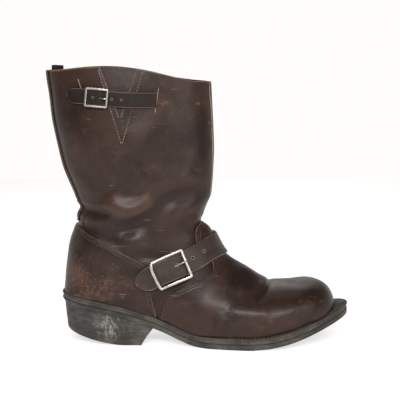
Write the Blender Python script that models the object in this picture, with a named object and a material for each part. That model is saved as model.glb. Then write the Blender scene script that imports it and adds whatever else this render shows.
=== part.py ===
"""Engineer boot for the right foot, empty, standing on its sole.

X runs from heel to toe, Z is up, and the outer (lateral) side faces -Y. The origin lies on the
floor in the middle of the flat that the heel stands on. Sizes are in metres.
"""

import math

import bmesh
import bpy
import numpy as np
from mathutils import Vector

# Driving sizes of the whole boot
SOLE_LENGTH = 0.316
BALL_WIDTH = 0.110
HEEL_WIDTH = 0.077
REST_FROM_BACK = 0.079
BOOT_HEIGHT = 0.297
INSTEP_HEIGHT = 0.133
TOE_HEIGHT = 0.063
COLLAR_DEPTH = 0.176
LEG_CENTRE = 0.2405
ANKLE_WIDTH = 0.077
LEG_WIDTH = 0.084

# Leathers
WALL = 0.0022
OVERLAY = 0.0018
FACING = 0.0012
FACING_DEPTH = 0.022
GUSSET = 0.0014
GUSSET_LAP = 0.006
GAP = 0.0003
FEATHER_GAP = 0.0005
STRIP_WIDTH = 0.018
COLLAR_BOW_LATERAL = 0.0104
COLLAR_BOW_MEDIAL = 0.003

# Sole
OUTSOLE = 0.0058
MIDSOLE = 0.0034
WELT = 0.0024
INSOLE = 0.003
EDGE = 0.0007
WELT_WIDTH = 0.016
FOOTBED_GAP = 0.0015
HEEL_PITCH = 0.0435
TOE_SPRING = 0.029
HEEL_WEAR = 0.017
HEEL_TAPER = 0.003
HEEL_DRAFT = 0.0025
BREAST_FOOT = 0.088
BREAST_TOP = 0.101
HEEL_FLAT_BACK = 0.070

# Straps and buckles
INSTEP_STRAP_WIDTH = 0.025
INSTEP_STRAP_TIP = 0.015
INSTEP_BUCKLE_FROM_TIP = 0.039
INSTEP_BUCKLE_LENGTH = 0.0376
INSTEP_BUCKLE_WIDTH = 0.033
INSTEP_BUCKLE_WIRE = 0.0032
INSTEP_BUCKLE_CORNER = 0.003
INSTEP_PRONG_REACH = 0.012
TOP_STRAP_WIDTH = 0.016
TOP_STRAP_TIP = 0.010
TOP_BUCKLE_FROM_TIP = 0.0325
TOP_BUCKLE_LENGTH = 0.0245
TOP_BUCKLE_WIDTH = 0.0204
TOP_BUCKLE_WIRE = 0.0024
TOP_BUCKLE_CORNER = 0.002
TOP_PRONG_REACH = 0.008
STRAP = 0.0024
STRAP_LIFT = 0.0009
TAB = 0.0018
PRONG = 0.0018
PULL_REACH = (0.86, 1.10)
PULL_DEPTH = 0.020
PULL_RISE = 0.005
PULL_LEATHER = 0.0032


def x_of(along):
    """X of a place given in metres from the back end of the sole."""
    return along - REST_FROM_BACK


def monotone(xs, ys):
    """A smooth curve through the points that never overshoots them."""
    xs, ys = np.asarray(xs, float), np.asarray(ys, float)
    step = np.diff(xs)
    slope = np.diff(ys) / step
    tangent = np.zeros(len(xs))
    for i in range(1, len(xs) - 1):
        if slope[i - 1] * slope[i] > 0:
            before, after = 2 * step[i] + step[i - 1], step[i] + 2 * step[i - 1]
            tangent[i] = (before + after) / (before / slope[i - 1] + after / slope[i])
    tangent[0], tangent[-1] = slope[0], slope[-1]

    def curve(x):
        x = np.clip(np.asarray(x, float), xs[0], xs[-1])
        i = np.clip(np.searchsorted(xs, x) - 1, 0, len(step) - 1)
        t = (x - xs[i]) / step[i]
        return (
            ys[i] * (1 + 2 * t) * (1 - t) ** 2
            + ys[i + 1] * t * t * (3 - 2 * t)
            + tangent[i] * step[i] * t * (1 - t) ** 2
            + tangent[i + 1] * step[i] * t * t * (t - 1)
        )

    return curve


def natural(xs, ys):
    """A natural cubic spline through the points. ys may hold several columns."""
    xs, ys = np.asarray(xs, float), np.asarray(ys, float)
    count, step = len(xs), np.diff(xs)
    system, right = np.eye(count), np.zeros_like(ys)
    for i in range(1, count - 1):
        system[i, i - 1 : i + 2] = step[i - 1], 2 * (step[i - 1] + step[i]), step[i]
        right[i] = 6 * ((ys[i + 1] - ys[i]) / step[i] - (ys[i] - ys[i - 1]) / step[i - 1])
    bend = np.linalg.solve(system, right)

    def curve(x):
        i = int(np.clip(np.searchsorted(xs, x) - 1, 0, count - 2))
        a, b, h = xs[i + 1] - x, x - xs[i], step[i]
        return (
            bend[i] * (a**3 / h - a * h) / 6
            + bend[i + 1] * (b**3 / h - b * h) / 6
            + (ys[i] * a + ys[i + 1] * b) / h
        )

    return curve


def smooth_line(points, pieces):
    """An open smooth curve through points, with each span cut into that many pieces."""
    points = np.asarray(points, float)
    place = np.concatenate([[0], np.cumsum(np.linalg.norm(np.diff(points, axis=0), axis=1))])
    curve = natural(place, points)
    places = np.concatenate(
        [np.linspace(a, b, pieces, endpoint=False) for a, b in zip(place, place[1:])]
    )
    return np.array([curve(p) for p in [*places, place[-1]]])


# Plan outline of the outsole: along is a share of SOLE_LENGTH, out a share of the width named
OUTLINE = (
    # along, lateral, medial, width
    (0.000, 0.000, 0.000, HEEL_WIDTH),
    (0.012, 0.215, 0.215, HEEL_WIDTH),
    (0.045, 0.375, 0.380, HEEL_WIDTH),
    (0.100, 0.475, 0.470, HEEL_WIDTH),
    (0.190, 0.500, 0.480, HEEL_WIDTH),
    (0.300, 0.495, 0.435, HEEL_WIDTH),
    (0.390, 0.365, 0.300, BALL_WIDTH),
    (0.480, 0.420, 0.330, BALL_WIDTH),
    (0.570, 0.485, 0.410, BALL_WIDTH),
    (0.650, 0.518, 0.465, BALL_WIDTH),
    (0.730, 0.522, 0.485, BALL_WIDTH),
    (0.810, 0.480, 0.470, BALL_WIDTH),
    (0.880, 0.395, 0.420, BALL_WIDTH),
    (0.940, 0.265, 0.335, BALL_WIDTH),
    (0.980, 0.125, 0.225, BALL_WIDTH),
    (1.000, -0.055, 0.055, BALL_WIDTH),
)

# Height of the outsole's underside along the boot, behind and before the flat under the ball
SOLE_RISE = (
    # along, share, of
    (0.000, 1.000, HEEL_PITCH),
    (0.095, 0.897, HEEL_PITCH),
    (0.187, 0.759, HEEL_PITCH),
    (0.275, 0.575, HEEL_PITCH),
    (0.320, 0.460, HEEL_PITCH),
    (0.358, 0.350, HEEL_PITCH),
    (0.411, 0.172, HEEL_PITCH),
    (0.459, 0.046, HEEL_PITCH),
    (0.500, 0.005, HEEL_PITCH),
    (0.525, 0.000, HEEL_PITCH),
    (0.640, 0.000, TOE_SPRING),
    (0.696, 0.045, TOE_SPRING),
    (0.760, 0.159, TOE_SPRING),
    (0.807, 0.290, TOE_SPRING),
    (0.851, 0.448, TOE_SPRING),
    (0.915, 0.697, TOE_SPRING),
    (0.959, 0.862, TOE_SPRING),
    (1.000, 1.000, TOE_SPRING),
)

# How far the upper stands inside the outsole's edge, as shares of BALL_WIDTH
FEATHER = ((0.0, 0.036), (0.2, 0.027), (0.37, 0.036), (0.6, 0.060), (0.75, 0.070), (1.0, 0.142))

underside = monotone([r[0] * SOLE_LENGTH for r in SOLE_RISE], [r[1] * r[2] for r in SOLE_RISE])
feather_margin = monotone([r[0] * SOLE_LENGTH for r in FEATHER], [r[1] * BALL_WIDTH for r in FEATHER])
SOLE_BUILD = OUTSOLE + GAP + MIDSOLE + GAP + WELT + FEATHER_GAP


def outline_curve():
    """The outsole's outline as a dense closed loop of (along, y), from the heel by the lateral side."""
    lateral = [(r[0] * SOLE_LENGTH, -r[1] * r[3]) for r in OUTLINE]
    medial = [(r[0] * SOLE_LENGTH, r[2] * r[3]) for r in OUTLINE[-2:0:-1]]
    loop = [*lateral, *medial]
    lead = 4
    closed = [*loop[-lead:], *loop, *loop[: lead + 1]]
    dense = smooth_line(closed, 12)
    return dense[lead * 12 : (lead + len(loop)) * 12]


LOOP = outline_curve()


def inset_loop(margin):
    """The outline moved inwards by margin, a number or a function of the distance along the boot."""
    following, before = np.roll(LOOP, -1, axis=0), np.roll(LOOP, 1, axis=0)
    tangent = following - before
    tangent /= np.linalg.norm(tangent, axis=1)[:, None]
    inward = np.stack([-tangent[:, 1], tangent[:, 0]], axis=1)
    distance = margin(LOOP[:, 0]) if callable(margin) else margin
    return LOOP + inward * np.reshape(distance, (-1, 1))


def two_sides(loop):
    """(back end, toe end, lateral y, medial y) of a loop, with y as functions of the distance along."""
    back, toe = int(np.argmin(loop[:, 0])), int(np.argmax(loop[:, 0]))
    turned = np.roll(loop, -back, axis=0)
    toe = (toe - back) % len(loop)
    lateral, medial = turned[: toe + 1], np.concatenate([turned[toe:], turned[:1]])[::-1]

    def side(points):
        keep = np.maximum.accumulate(points[:, 0]) + np.arange(len(points)) * 1e-9
        return lambda along: np.interp(along, keep, points[:, 1])

    return turned[0, 0], lateral[-1, 0], side(lateral), side(medial)


def end_dense(first, last, count):
    """Places from first to last, closer together near both ends."""
    even = np.linspace(0, 1, count)
    return first + (last - first) * (even + (1 - np.cos(math.pi * even)) / 2) / 2


# Objects

def material(name, colour, roughness, metallic=0.0):
    found = bpy.data.materials.new(name)
    found.use_nodes = True
    shader = found.node_tree.nodes["Principled BSDF"]
    shader.inputs["Base Color"].default_value = (*colour, 1.0)
    shader.inputs["Roughness"].default_value = roughness
    shader.inputs["Metallic"].default_value = metallic
    found.diffuse_color = (*colour, 1.0)
    return found


def new_object(name, points, faces, finish, smooth=True):
    mesh = bpy.data.meshes.new(name)
    mesh.from_pydata([tuple(map(float, p)) for p in points], [], [tuple(f) for f in faces])
    mesh.update()
    tool = bmesh.new()
    tool.from_mesh(mesh)
    bmesh.ops.remove_doubles(tool, verts=tool.verts, dist=1e-6)
    bmesh.ops.dissolve_degenerate(tool, edges=tool.edges, dist=1e-7)
    bmesh.ops.recalc_face_normals(tool, faces=tool.faces)
    tool.to_mesh(mesh)
    tool.free()
    if smooth:
        mesh.shade_smooth()
        mesh.set_sharp_from_angle(angle=math.radians(40))
    obj = bpy.data.objects.new(name, mesh)
    bpy.context.scene.collection.objects.link(obj)
    if finish is not None:
        mesh.materials.append(finish)
    return obj


def apply_cut(target, cutter, operation):
    """Cuts target with cutter, or keeps only what lies inside it, and removes the cutter."""
    cutter.hide_render = True
    cutter.display_type = "WIRE"
    cut = target.modifiers.new(operation.lower(), "BOOLEAN")
    cut.operation = operation
    cut.object = cutter
    cut.solver = "EXACT"
    graph = bpy.context.evaluated_depsgraph_get()
    mesh = bpy.data.meshes.new_from_object(target.evaluated_get(graph))
    target.modifiers.clear()
    target.data = mesh
    bpy.data.objects.remove(cutter)
    mesh.shade_smooth()
    mesh.set_sharp_from_angle(angle=math.radians(40))


def prism(outline, low_y, high_y):
    """A cutter: a side-view outline of (along, up) in metres, drawn out from low_y to high_y."""
    count = len(outline)
    points = [(x_of(a), y, z) for y in (low_y, high_y) for a, z in outline]
    sides = [(i, (i + 1) % count, count + (i + 1) % count, count + i) for i in range(count)]
    faces = [*sides, tuple(range(count))[::-1], tuple(range(count, 2 * count))]
    return new_object("cutter", points, faces, None, smooth=False)


# Sole layers

SOLE_STATIONS = 46


def slab(name, rings, finish, count=SOLE_STATIONS):
    """A solid with the sole's outline. rings run from bottom to top: (margin, height function)."""
    points, rows = [], []
    for margin, height, *ends in rings:
        first, last, lateral, medial = two_sides(inset_loop(margin))
        if ends:
            first, last = max(first, ends[0]), ends[1]
        if ends:
            along = first + (last - first) * (1 - np.cos(np.linspace(0, math.pi / 2, count)))
            along[np.argmin(abs(along - HEEL_FLAT_BACK))] = HEEL_FLAT_BACK
        else:
            along = snapped(end_dense(first, last, count))
        rows.append([(len(points) + 2 * i, len(points) + 2 * i + 1) for i in range(count)])
        for a in along:
            points.append((x_of(a), lateral(a), height(a)))
            points.append((x_of(a), medial(a), height(a)))
    faces = []
    for i in range(count - 1):
        low, high = rows[0], rows[-1]
        faces.append((low[i][0], low[i][1], low[i + 1][1], low[i + 1][0]))
        faces.append((high[i][1], high[i][0], high[i + 1][0], high[i + 1][1]))
        for below, above in zip(rows, rows[1:]):
            faces.append((below[i][0], below[i + 1][0], above[i + 1][0], above[i][0]))
            faces.append((below[i + 1][1], below[i][1], above[i][1], above[i + 1][1]))
    for below, above in zip(rows, rows[1:]):
        faces.append((below[-1][0], below[-1][1], above[-1][1], above[-1][0]))
        faces.append((below[0][1], below[0][0], above[0][0], above[0][1]))
    return new_object(name, points, faces, finish)


FLAT_BACK, FLAT_FRONT = 0.525 * SOLE_LENGTH, 0.640 * SOLE_LENGTH


def snapped(along):
    """Moves the nearest places onto the two ends of the flat under the ball."""
    along = np.array(along)
    for edge in (FLAT_BACK, FLAT_FRONT):
        along[np.argmin(abs(along - edge))] = edge
    return along


def over_sole(extra):
    return lambda along: underside(along) + extra


def band(name, corners, finish, count=SOLE_STATIONS):
    """A strip round the whole sole. corners are (margin, height above the underside) in order."""
    toe = int(np.argmax(LOOP[:, 0]))
    places = snapped(end_dense(0, SOLE_LENGTH, count))
    lateral = [int(np.argmin(abs(LOOP[: toe + 1, 0] - a))) for a in places]
    medial = [toe + int(np.argmin(abs(LOOP[toe:, 0] - a))) for a in places[-2:0:-1]]
    around = lateral + medial
    count = len(around)
    loops = []
    for margin, extra in corners:
        loops.append([(x_of(a), y, float(underside(a)) + extra) for a, y in inset_loop(margin)[around]])
    points = [p for loop in loops for p in loop]
    faces = []
    for k in range(len(corners)):
        here, there = k * count, (k + 1) % len(corners) * count
        for i in range(count):
            j = (i + 1) % count
            faces.append((here + i, here + j, there + j, there + i))
    return new_object(name, points, faces, finish)


def heel_draft(extra):
    """The margin of an edge that stands in under the lip at the back of the heel."""
    return lambda along: extra + HEEL_DRAFT * np.clip((BREAST_TOP - along) / BREAST_TOP, 0, 1) ** 0.5


def wear(along):
    """The heel's worn underside: flat near the breast, rounded up towards the back."""
    worn = np.clip((HEEL_FLAT_BACK - along) / HEEL_FLAT_BACK, 0, None)
    return HEEL_WEAR * worn**1.5


# The last: its sections. Each row is a cut through the upper, from a place low on the boot
# (the feather edge, or the back of the leg) to a place on the front ridge.
FOOT_ROWS = (
    # ridge along, ridge up, up of, low along, lateral, medial, widest, boxiness, ridge y
    (0.950, None, TOE_HEIGHT, 0.829, 0.385, 0.385, 0.08, 2.30, 0.060),
    (0.944, 0.733, TOE_HEIGHT, 0.807, 0.412, 0.408, 0.12, 2.35, 0.060),
    (0.921, 0.905, TOE_HEIGHT, 0.778, 0.430, 0.422, 0.20, 2.50, 0.055),
    (0.878, 1.000, TOE_HEIGHT, 0.747, 0.450, 0.436, 0.26, 2.60, 0.050),
    (0.823, 1.000, TOE_HEIGHT, 0.709, 0.463, 0.440, 0.30, 2.60, 0.045),
    (0.763, 0.976, TOE_HEIGHT, 0.661, 0.466, 0.434, 0.30, 2.40, 0.040),
    (0.715, 0.486, INSTEP_HEIGHT, 0.620, 0.457, 0.416, 0.30, 2.20, 0.036),
    (0.668, 0.554, INSTEP_HEIGHT, 0.570, 0.430, 0.390, 0.28, 2.00, 0.036),
    (0.620, 0.622, INSTEP_HEIGHT, 0.513, 0.398, 0.356, 0.28, 1.90, 0.032),
    (0.569, 0.703, INSTEP_HEIGHT, 0.453, 0.370, 0.338, 0.30, 1.85, 0.027),
    (0.532, 0.841, INSTEP_HEIGHT, 0.373, 0.352, 0.332, 0.34, 1.80, 0.018),
    (0.510, 0.929, INSTEP_HEIGHT, 0.285, 0.344, 0.332, 0.38, 1.80, 0.009),
    (0.493, 0.977, INSTEP_HEIGHT, 0.174, 0.340, 0.334, 0.42, 1.85, 0.000),
    (0.492, 1.026, INSTEP_HEIGHT, 0.079, 0.342, 0.338, 0.45, 1.90, 0.000),
)
LEG_ROWS = (
    # front and back: shares of half the collar's depth from LEG_CENTRE; heights: shares of the
    # way from INSTEP_HEIGHT up to BOOT_HEIGHT. A back height of None is the heel's feather edge
    # front, front up, back, back up, half width, of, widest, boxiness
    (0.915, 0.058, -0.798, None, 0.494, ANKLE_WIDTH, 0.46, 1.90),
    (0.942, 0.098, -0.798, -0.335, 0.494, ANKLE_WIDTH, 0.46, 1.90),
    (0.977, 0.140, -0.742, -0.152, 0.494, ANKLE_WIDTH, 0.47, 1.90),
    (1.006, 0.183, -0.649, 0.000, 0.500, ANKLE_WIDTH, 0.47, 1.85),
    (1.016, 0.232, -0.623, 0.091, 0.506, ANKLE_WIDTH, 0.47, 1.85),
    (1.028, 0.305, -0.657, 0.171, 0.519, ANKLE_WIDTH, 0.47, 1.85),
    (1.034, 0.397, -0.748, 0.286, 0.488, LEG_WIDTH, 0.46, 1.88),
    (1.034, 0.506, -0.834, 0.420, 0.494, LEG_WIDTH, 0.46, 1.90),
    (1.031, 0.629, -0.899, 0.567, 0.500, LEG_WIDTH, 0.45, 1.92),
    (1.023, 0.745, -0.942, 0.714, 0.488, LEG_WIDTH, 0.45, 1.94),
    (1.007, 0.841, -0.974, 0.853, 0.476, LEG_WIDTH, 0.45, 1.96),
    (0.998, 0.924, -1.000, 1.000, 0.458, LEG_WIDTH, 0.45, 2.00),
)
BACK_SHARPNESS = 2.1
WIDEST_STEP = 0.42
BOW_FROM = 3
BOW_SPAN = 0.90
BOW_POWER = 1.3
NORMAL_STEP = (0.0008, 0.012)


class Last:
    """The boot's outer form. u runs from the toe's edge over the foot to the collar, and v from
    -1 on the lateral feather edge or back seam, over the ridge at 0, to 1 on the medial side."""

    def __init__(self):
        _, _, self.lateral, self.medial = two_sides(inset_loop(feather_margin))
        self.heel_back = two_sides(inset_loop(feather_margin))[0]
        rows = []
        for ridge, up, of, low, lateral, medial, widest, boxy, y in FOOT_ROWS:
            along = ridge * SOLE_LENGTH
            height = self.feather(along) if up is None else up * of
            low_along = low * SOLE_LENGTH
            rows.append(
                (along, height, low_along, self.feather(low_along), lateral * BALL_WIDTH,
                 medial * BALL_WIDTH, widest, boxy, y * BALL_WIDTH)
            )
        self.seam_row = len(rows)
        for front, up, back, back_up, half, of, widest, boxy in LEG_ROWS:
            centre = LEG_CENTRE * SOLE_LENGTH
            back_along = self.heel_back if back_up is None else centre + back * COLLAR_DEPTH / 2
            height = self.feather(back_along) if back_up is None else self.leg_height(back_up)
            rows.append(
                (centre + front * COLLAR_DEPTH / 2, self.leg_height(up), back_along, height,
                 half * of, half * of, widest, boxy, 0.0)
            )
        self.rows = np.array(rows, float)
        ridge_step = np.linalg.norm(np.diff(self.rows[:, 0:2], axis=0), axis=1)
        low_step = np.linalg.norm(np.diff(self.rows[:, 2:4], axis=0), axis=1)
        self.places = np.concatenate([[0], np.cumsum((ridge_step + low_step) / 2)])
        self.columns = natural(self.places, self.rows)
        self.low_end = [
            natural(self.places[: self.seam_row + 1], self.rows[: self.seam_row + 1, 2:4]),
            natural(self.places[self.seam_row :], self.rows[self.seam_row :, 2:4]),
        ]
        self.seam = self.places[self.seam_row]
        self.top = self.places[-1]

    def feather(self, along):
        return float(underside(along)) + SOLE_BUILD

    def leg_height(self, share):
        return INSTEP_HEIGHT + share * (BOOT_HEIGHT - INSTEP_HEIGHT)

    def point(self, u, v):
        """A point of the outer form."""
        ridge_x, ridge_z, _, _, lateral, medial, widest, boxy, ridge_y = self.columns(u)
        is_open = u < self.seam - 1e-9
        low_x, low_z = self.low_end[0 if is_open else 1](u)
        if is_open:
            low_x = max(low_x, self.heel_back)
            low_z = self.feather(low_x)
            sides = self.lateral(low_x), self.medial(low_x)
        else:
            sides = 0.0, 0.0
        low_y = (sides[0] + sides[1]) / 2
        foot = (sides[1] - sides[0]) / 2
        wide = max(lateral if v < 0 else medial, foot)
        rise = 1 - abs(v)
        if rise < WIDEST_STEP:
            turn = (1 - rise / WIDEST_STEP) * math.pi / 2
            power = 2 / BACK_SHARPNESS
            share = widest * (1 - math.sin(turn) ** power)
            out = foot + (wide - foot) * max(math.cos(turn), 0) ** power
        else:
            turn = (rise - WIDEST_STEP) / (1 - WIDEST_STEP) * math.pi / 2
            share = widest + (1 - widest) * math.sin(turn) ** (2 / boxy)
            out = wide * max(math.cos(turn), 0) ** (2 / boxy)
        side = -1 if v < 0 else 1
        height = low_z + (ridge_z - low_z) * share
        bow = COLLAR_BOW_LATERAL if v < 0 else COLLAR_BOW_MEDIAL
        start = self.places[-1 - BOW_FROM]
        grown = np.clip((u - start) / (self.top - start), 0, 1) ** 2
        height += bow * grown * math.sin(math.pi * min(max(share / BOW_SPAN, 0), 1)) ** BOW_POWER
        return np.array(
            [x_of(low_x + (ridge_x - low_x) * share),
             low_y + (ridge_y - low_y) * share + side * out,
             height]
        )

    def normal(self, u, v):
        """The outward direction at a point of the outer form."""
        du, dv = NORMAL_STEP
        low, high = max(u - du, 0), min(u + du, self.top)
        if low < self.seam <= high:
            low, high = (self.seam, high) if u >= self.seam else (low, self.seam - 1e-7)
        along = self.point(high, v) - self.point(low, v)
        if u >= self.seam and abs(v) > 1 - dv:
            across = self.point(u, -1 + dv) - self.point(u, 1 - dv)
        else:
            across = self.point(u, min(v + dv, 1)) - self.point(u, max(v - dv, -1))
        out = np.cross(across, along)
        if u < self.seam and abs(v) > 1 - 1e-6:
            out[2] = 0
        return out / max(np.linalg.norm(out), 1e-12)

    def find(self, along, up, side):
        """The (u, v) that shows at a point of the side view. Side is -1 lateral, 0 ridge, 1 medial."""
        goal = np.array([x_of(along), up])
        vs = [0.0] if side == 0 else [side * k / 24 for k in range(1, 24)]
        us = np.linspace(0, self.top, 120)
        starts = [(u, v) for u in us for v in vs]
        gaps = [np.linalg.norm(self.point(u, v)[[0, 2]] - goal) for u, v in starts]
        u, v = starts[int(np.argmin(gaps))]
        if side == 0:
            return u, v
        for _ in range(8):
            here = self.point(u, v)[[0, 2]]
            du = (self.point(u + 1e-4, v)[[0, 2]] - here) / 1e-4
            dv = (self.point(u, v + 1e-3)[[0, 2]] - here) / 1e-3
            step = np.linalg.lstsq(np.stack([du, dv], axis=1), goal - here, rcond=None)[0]
            u = float(np.clip(u + step[0], 0, self.top))
            v = float(np.clip(v + np.clip(step[1], -0.1, 0.1), -0.98, 0.98))
        return u, v


LAST = Last()
ACROSS = 12
HEEL_TURN = 5
FACET = 0.0135


def v_places(across):
    """Places round a section, from the lateral end to the medial end."""
    low = np.linspace(0, WIDEST_STEP, across // 2, endpoint=False)
    high = np.linspace(WIDEST_STEP, 1, across - across // 2 + 1)
    rise = np.concatenate([low, high])
    return np.concatenate([rise - 1, (1 - rise[::-1])[1:]])


def u_places(step):
    """Places along the boot, about step apart, with every row of the tables among them."""
    places = []
    for row, (a, b) in enumerate(zip(LAST.places, LAST.places[1:]), start=1):
        if row == LAST.seam_row:
            places.extend(a + (b - a) * np.sin(np.linspace(0, math.pi / 2, HEEL_TURN, endpoint=False)))
        else:
            places.extend(np.linspace(a, b, max(1, round((b - a) / step)), endpoint=False))
    return np.array([*places, LAST.top])


U = u_places(FACET)
V = v_places(ACROSS)


def last_grid(places):
    """Points and outward directions of the outer form over some places along it and all across."""
    points = np.array([[LAST.point(u, v) for v in V] for u in places])
    normals = np.array([[LAST.normal(u, v) for v in V] for u in places])
    return points, normals


GRID, NORMALS = last_grid(U)


def skin(places, points, normals, offset):
    """A grid of the outer form moved out by offset, never lower than the welt's top."""
    moved = points + normals * offset
    floor = underside(moved[..., 0] + REST_FROM_BACK) + SOLE_BUILD
    moved[..., 2] = np.maximum(moved[..., 2], floor)
    foot = np.array(places) < LAST.seam - 1e-6
    moved[foot, 0, 2], moved[foot, -1, 2] = floor[foot, 0], floor[foot, -1]
    if foot[0]:
        moved[0, :, 2] = floor[0]
    return moved


def shell(name, inner, outer, finish, places=None):
    """The hollow form between two offsets, open at the collar and underneath."""
    places = U if places is None else places
    points, normals = (GRID, NORMALS) if places is U else last_grid(places)
    rows, columns = len(places), len(V)
    index = np.arange(rows * columns).reshape(rows, columns)
    closed = np.array(places) > LAST.seam - 1e-6
    index[closed, -1] = index[closed, 0]
    cells = []
    for i in range(rows - 1):
        for j in range(columns - 1):
            a, b, c, d = index[i, j], index[i + 1, j], index[i + 1, j + 1], index[i, j + 1]
            cells.extend([(a, b, c), (a, c, d)])
    count = rows * columns
    faces = [*cells, *[tuple(count + k for k in cell[::-1]) for cell in cells]]
    edges = {(a, b) for cell in cells for a, b in zip(cell, cell[1:] + cell[:1])}
    for a, b in edges:
        if (b, a) not in edges:
            faces.append((b, a, count + a, count + b))
    skins = [skin(places, points, normals, offset).reshape(-1, 3) for offset in (outer, inner)]
    used = sorted({k for face in faces for k in face})
    place = {k: n for n, k in enumerate(used)}
    faces = [tuple(place[k] for k in face) for face in faces]
    return new_object(name, np.concatenate(skins)[used], faces, finish)


# Side-view outlines: along as a share of SOLE_LENGTH, up as a share of INSTEP_HEIGHT
VAMP_EDGE = (
    (0.340, -0.150), (0.342, 0.100), (0.345, 0.250), (0.358, 0.345), (0.386, 0.440),
    (0.421, 0.485), (0.453, 0.520), (0.481, 0.542), (0.507, 0.568), (0.524, 0.610),
    (0.525, 0.655), (0.514, 0.700), (0.491, 0.752), (0.473, 0.812), (0.465, 0.872),
    (0.468, 0.932), (0.484, 0.978), (0.510, 1.010), (0.560, 1.060),
)
COUNTER_EDGE = (
    (-0.100, 1.000), (0.000, 1.000), (0.043, 0.985), (0.088, 0.930), (0.141, 0.868),
    (0.190, 0.812), (0.240, 0.742), (0.280, 0.690), (0.302, 0.650), (0.311, 0.590),
    (0.311, 0.520), (0.313, 0.440), (0.320, 0.360), (0.331, 0.255), (0.336, 0.100),
    (0.336, -0.150),
)
# The V at the collar: shares of SOLE_LENGTH at its two top corners and its tip, and the tip's
# share of BOOT_HEIGHT. CLEAR is how much wider the leg is cut, and REACH ends far off the boot
NOTCH_TOP = (0.155, 0.266)
NOTCH_TIP = 0.214
NOTCH_FOOT = 0.835
NOTCH_CLEAR = 0.0004
REACH = 2 * BALL_WIDTH


def side_view(rows):
    return [(a * SOLE_LENGTH, up * INSTEP_HEIGHT) for a, up in rows]



# The centre lines of the straps in the side view, from the tip of the tail
INSTEP_PATH = (
    # side, along of SOLE_LENGTH, up of INSTEP_HEIGHT, slope in degrees
    (-1, 0.2725, 0.526, 24.0),
    (-1, 0.328, 0.590, 24.0),
    (-1, 0.385, 0.647, 24.0),
    (-1, 0.446, 0.702, 23.5),
    (-1, 0.515, 0.782, 24.5),
    (0, 0.567, 0.829, 30.0),
    (1, 0.515, 0.782, 24.5),
    (1, 0.446, 0.702, 23.5),
    (1, 0.385, 0.647, 24.0),
    (1, 0.330, 0.590, 24.0),
)
TOP_PATH = (
    # side, along of SOLE_LENGTH, up of BOOT_HEIGHT, slope in degrees
    (-1, 0.043, 0.914, -3.0),
    (-1, 0.085, 0.911, -4.0),
    (-1, 0.142, 0.906, -6.0),
    (-1, 0.200, 0.900, -4.0),
    (-1, 0.253, 0.897, -2.0),
    (-1, 0.335, 0.895, -2.0),
)


class Strap:
    """A strap's place on the outer form, in metres along it from the tip and across it."""

    def __init__(self, path, height, width):
        self.width = width
        edges = []
        for side, along, up, slope in path:
            turn = math.radians(slope)
            across = np.array([-math.sin(turn), math.cos(turn)]) * width / 2
            centre = np.array([along * SOLE_LENGTH, up * height])
            edges.append([*LAST.find(*(centre + across), side), *LAST.find(*(centre - across), side)])
        edges = np.array(edges)
        middles = [LAST.point((e[0] + e[2]) / 2, (e[1] + e[3]) / 2) for e in edges]
        steps = np.linalg.norm(np.diff(middles, axis=0), axis=1)
        self.places = np.concatenate([[0], np.cumsum(steps)])
        self.length = self.places[-1]
        self.edges = natural(self.places, edges)

    def at(self, along, across, lift):
        """The point this far along from the tip, up from the centre line and off the outer form."""
        upper_u, upper_v, lower_u, lower_v = self.edges(along)
        share = 0.5 + across / self.width
        u = min(max(lower_u + (upper_u - lower_u) * share, 0), LAST.top)
        v = lower_v + (upper_v - lower_v) * share
        return LAST.point(u, v) + LAST.normal(u, v) * lift


def strip(name, strap, stations, half_width, lift, thick, finish, across=4):
    """A flat piece of a strap. half_width and lift are functions of the distance from the tip."""
    points = []
    for along in stations:
        half = half_width(along)
        for out in (thick, 0):
            for share in np.linspace(-1, 1, across):
                points.append(strap.at(along, share * half, lift(along) + out))
    ring = [*range(across), *range(2 * across - 1, across - 1, -1)]
    size = 2 * across
    faces = []
    for i in range(len(stations) - 1):
        here, there = i * size, (i + 1) * size
        for a, b in zip(ring, ring[1:] + ring[:1]):
            faces.append((here + a, there + a, there + b))
            faces.append((here + a, there + b, here + b))
    last = (len(stations) - 1) * size
    faces.append(tuple(ring))
    faces.append(tuple(last + k for k in ring[::-1]))
    return new_object(name, points, faces, finish)


def wire(name, strap, path, radius, finish, closed, sides=8):
    """A round bar along a path of (along, across, lift) on a strap, closed or with flat ends."""
    centres = np.array([strap.at(*p) for p in path])
    ups = np.array([strap.at(a, c, h + radius) for a, c, h in path]) - centres
    ups /= np.linalg.norm(ups, axis=1)[:, None]
    if closed:
        ahead = np.roll(centres, -1, axis=0) - np.roll(centres, 1, axis=0)
    else:
        ahead = np.gradient(centres, axis=0)
    out = np.cross(ahead, ups)
    out /= np.linalg.norm(out, axis=1)[:, None]
    turns = [2 * math.pi * (k + 0.5) / sides for k in range(sides)]
    points = [
        c + radius * (math.cos(t) * o + math.sin(t) * n)
        for c, o, n in zip(centres, out, ups)
        for t in turns
    ]
    count = len(centres)
    faces = []
    for i in range(count if closed else count - 1):
        here, there = i * sides, (i + 1) % count * sides
        for k in range(sides):
            j = (k + 1) % sides
            faces.append((here + k, here + j, there + j, there + k))
    if not closed:
        faces.append(tuple(range(sides)))
        faces.append(tuple((count - 1) * sides + k for k in reversed(range(sides))))
    return new_object(name, points, faces, finish)


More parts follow.
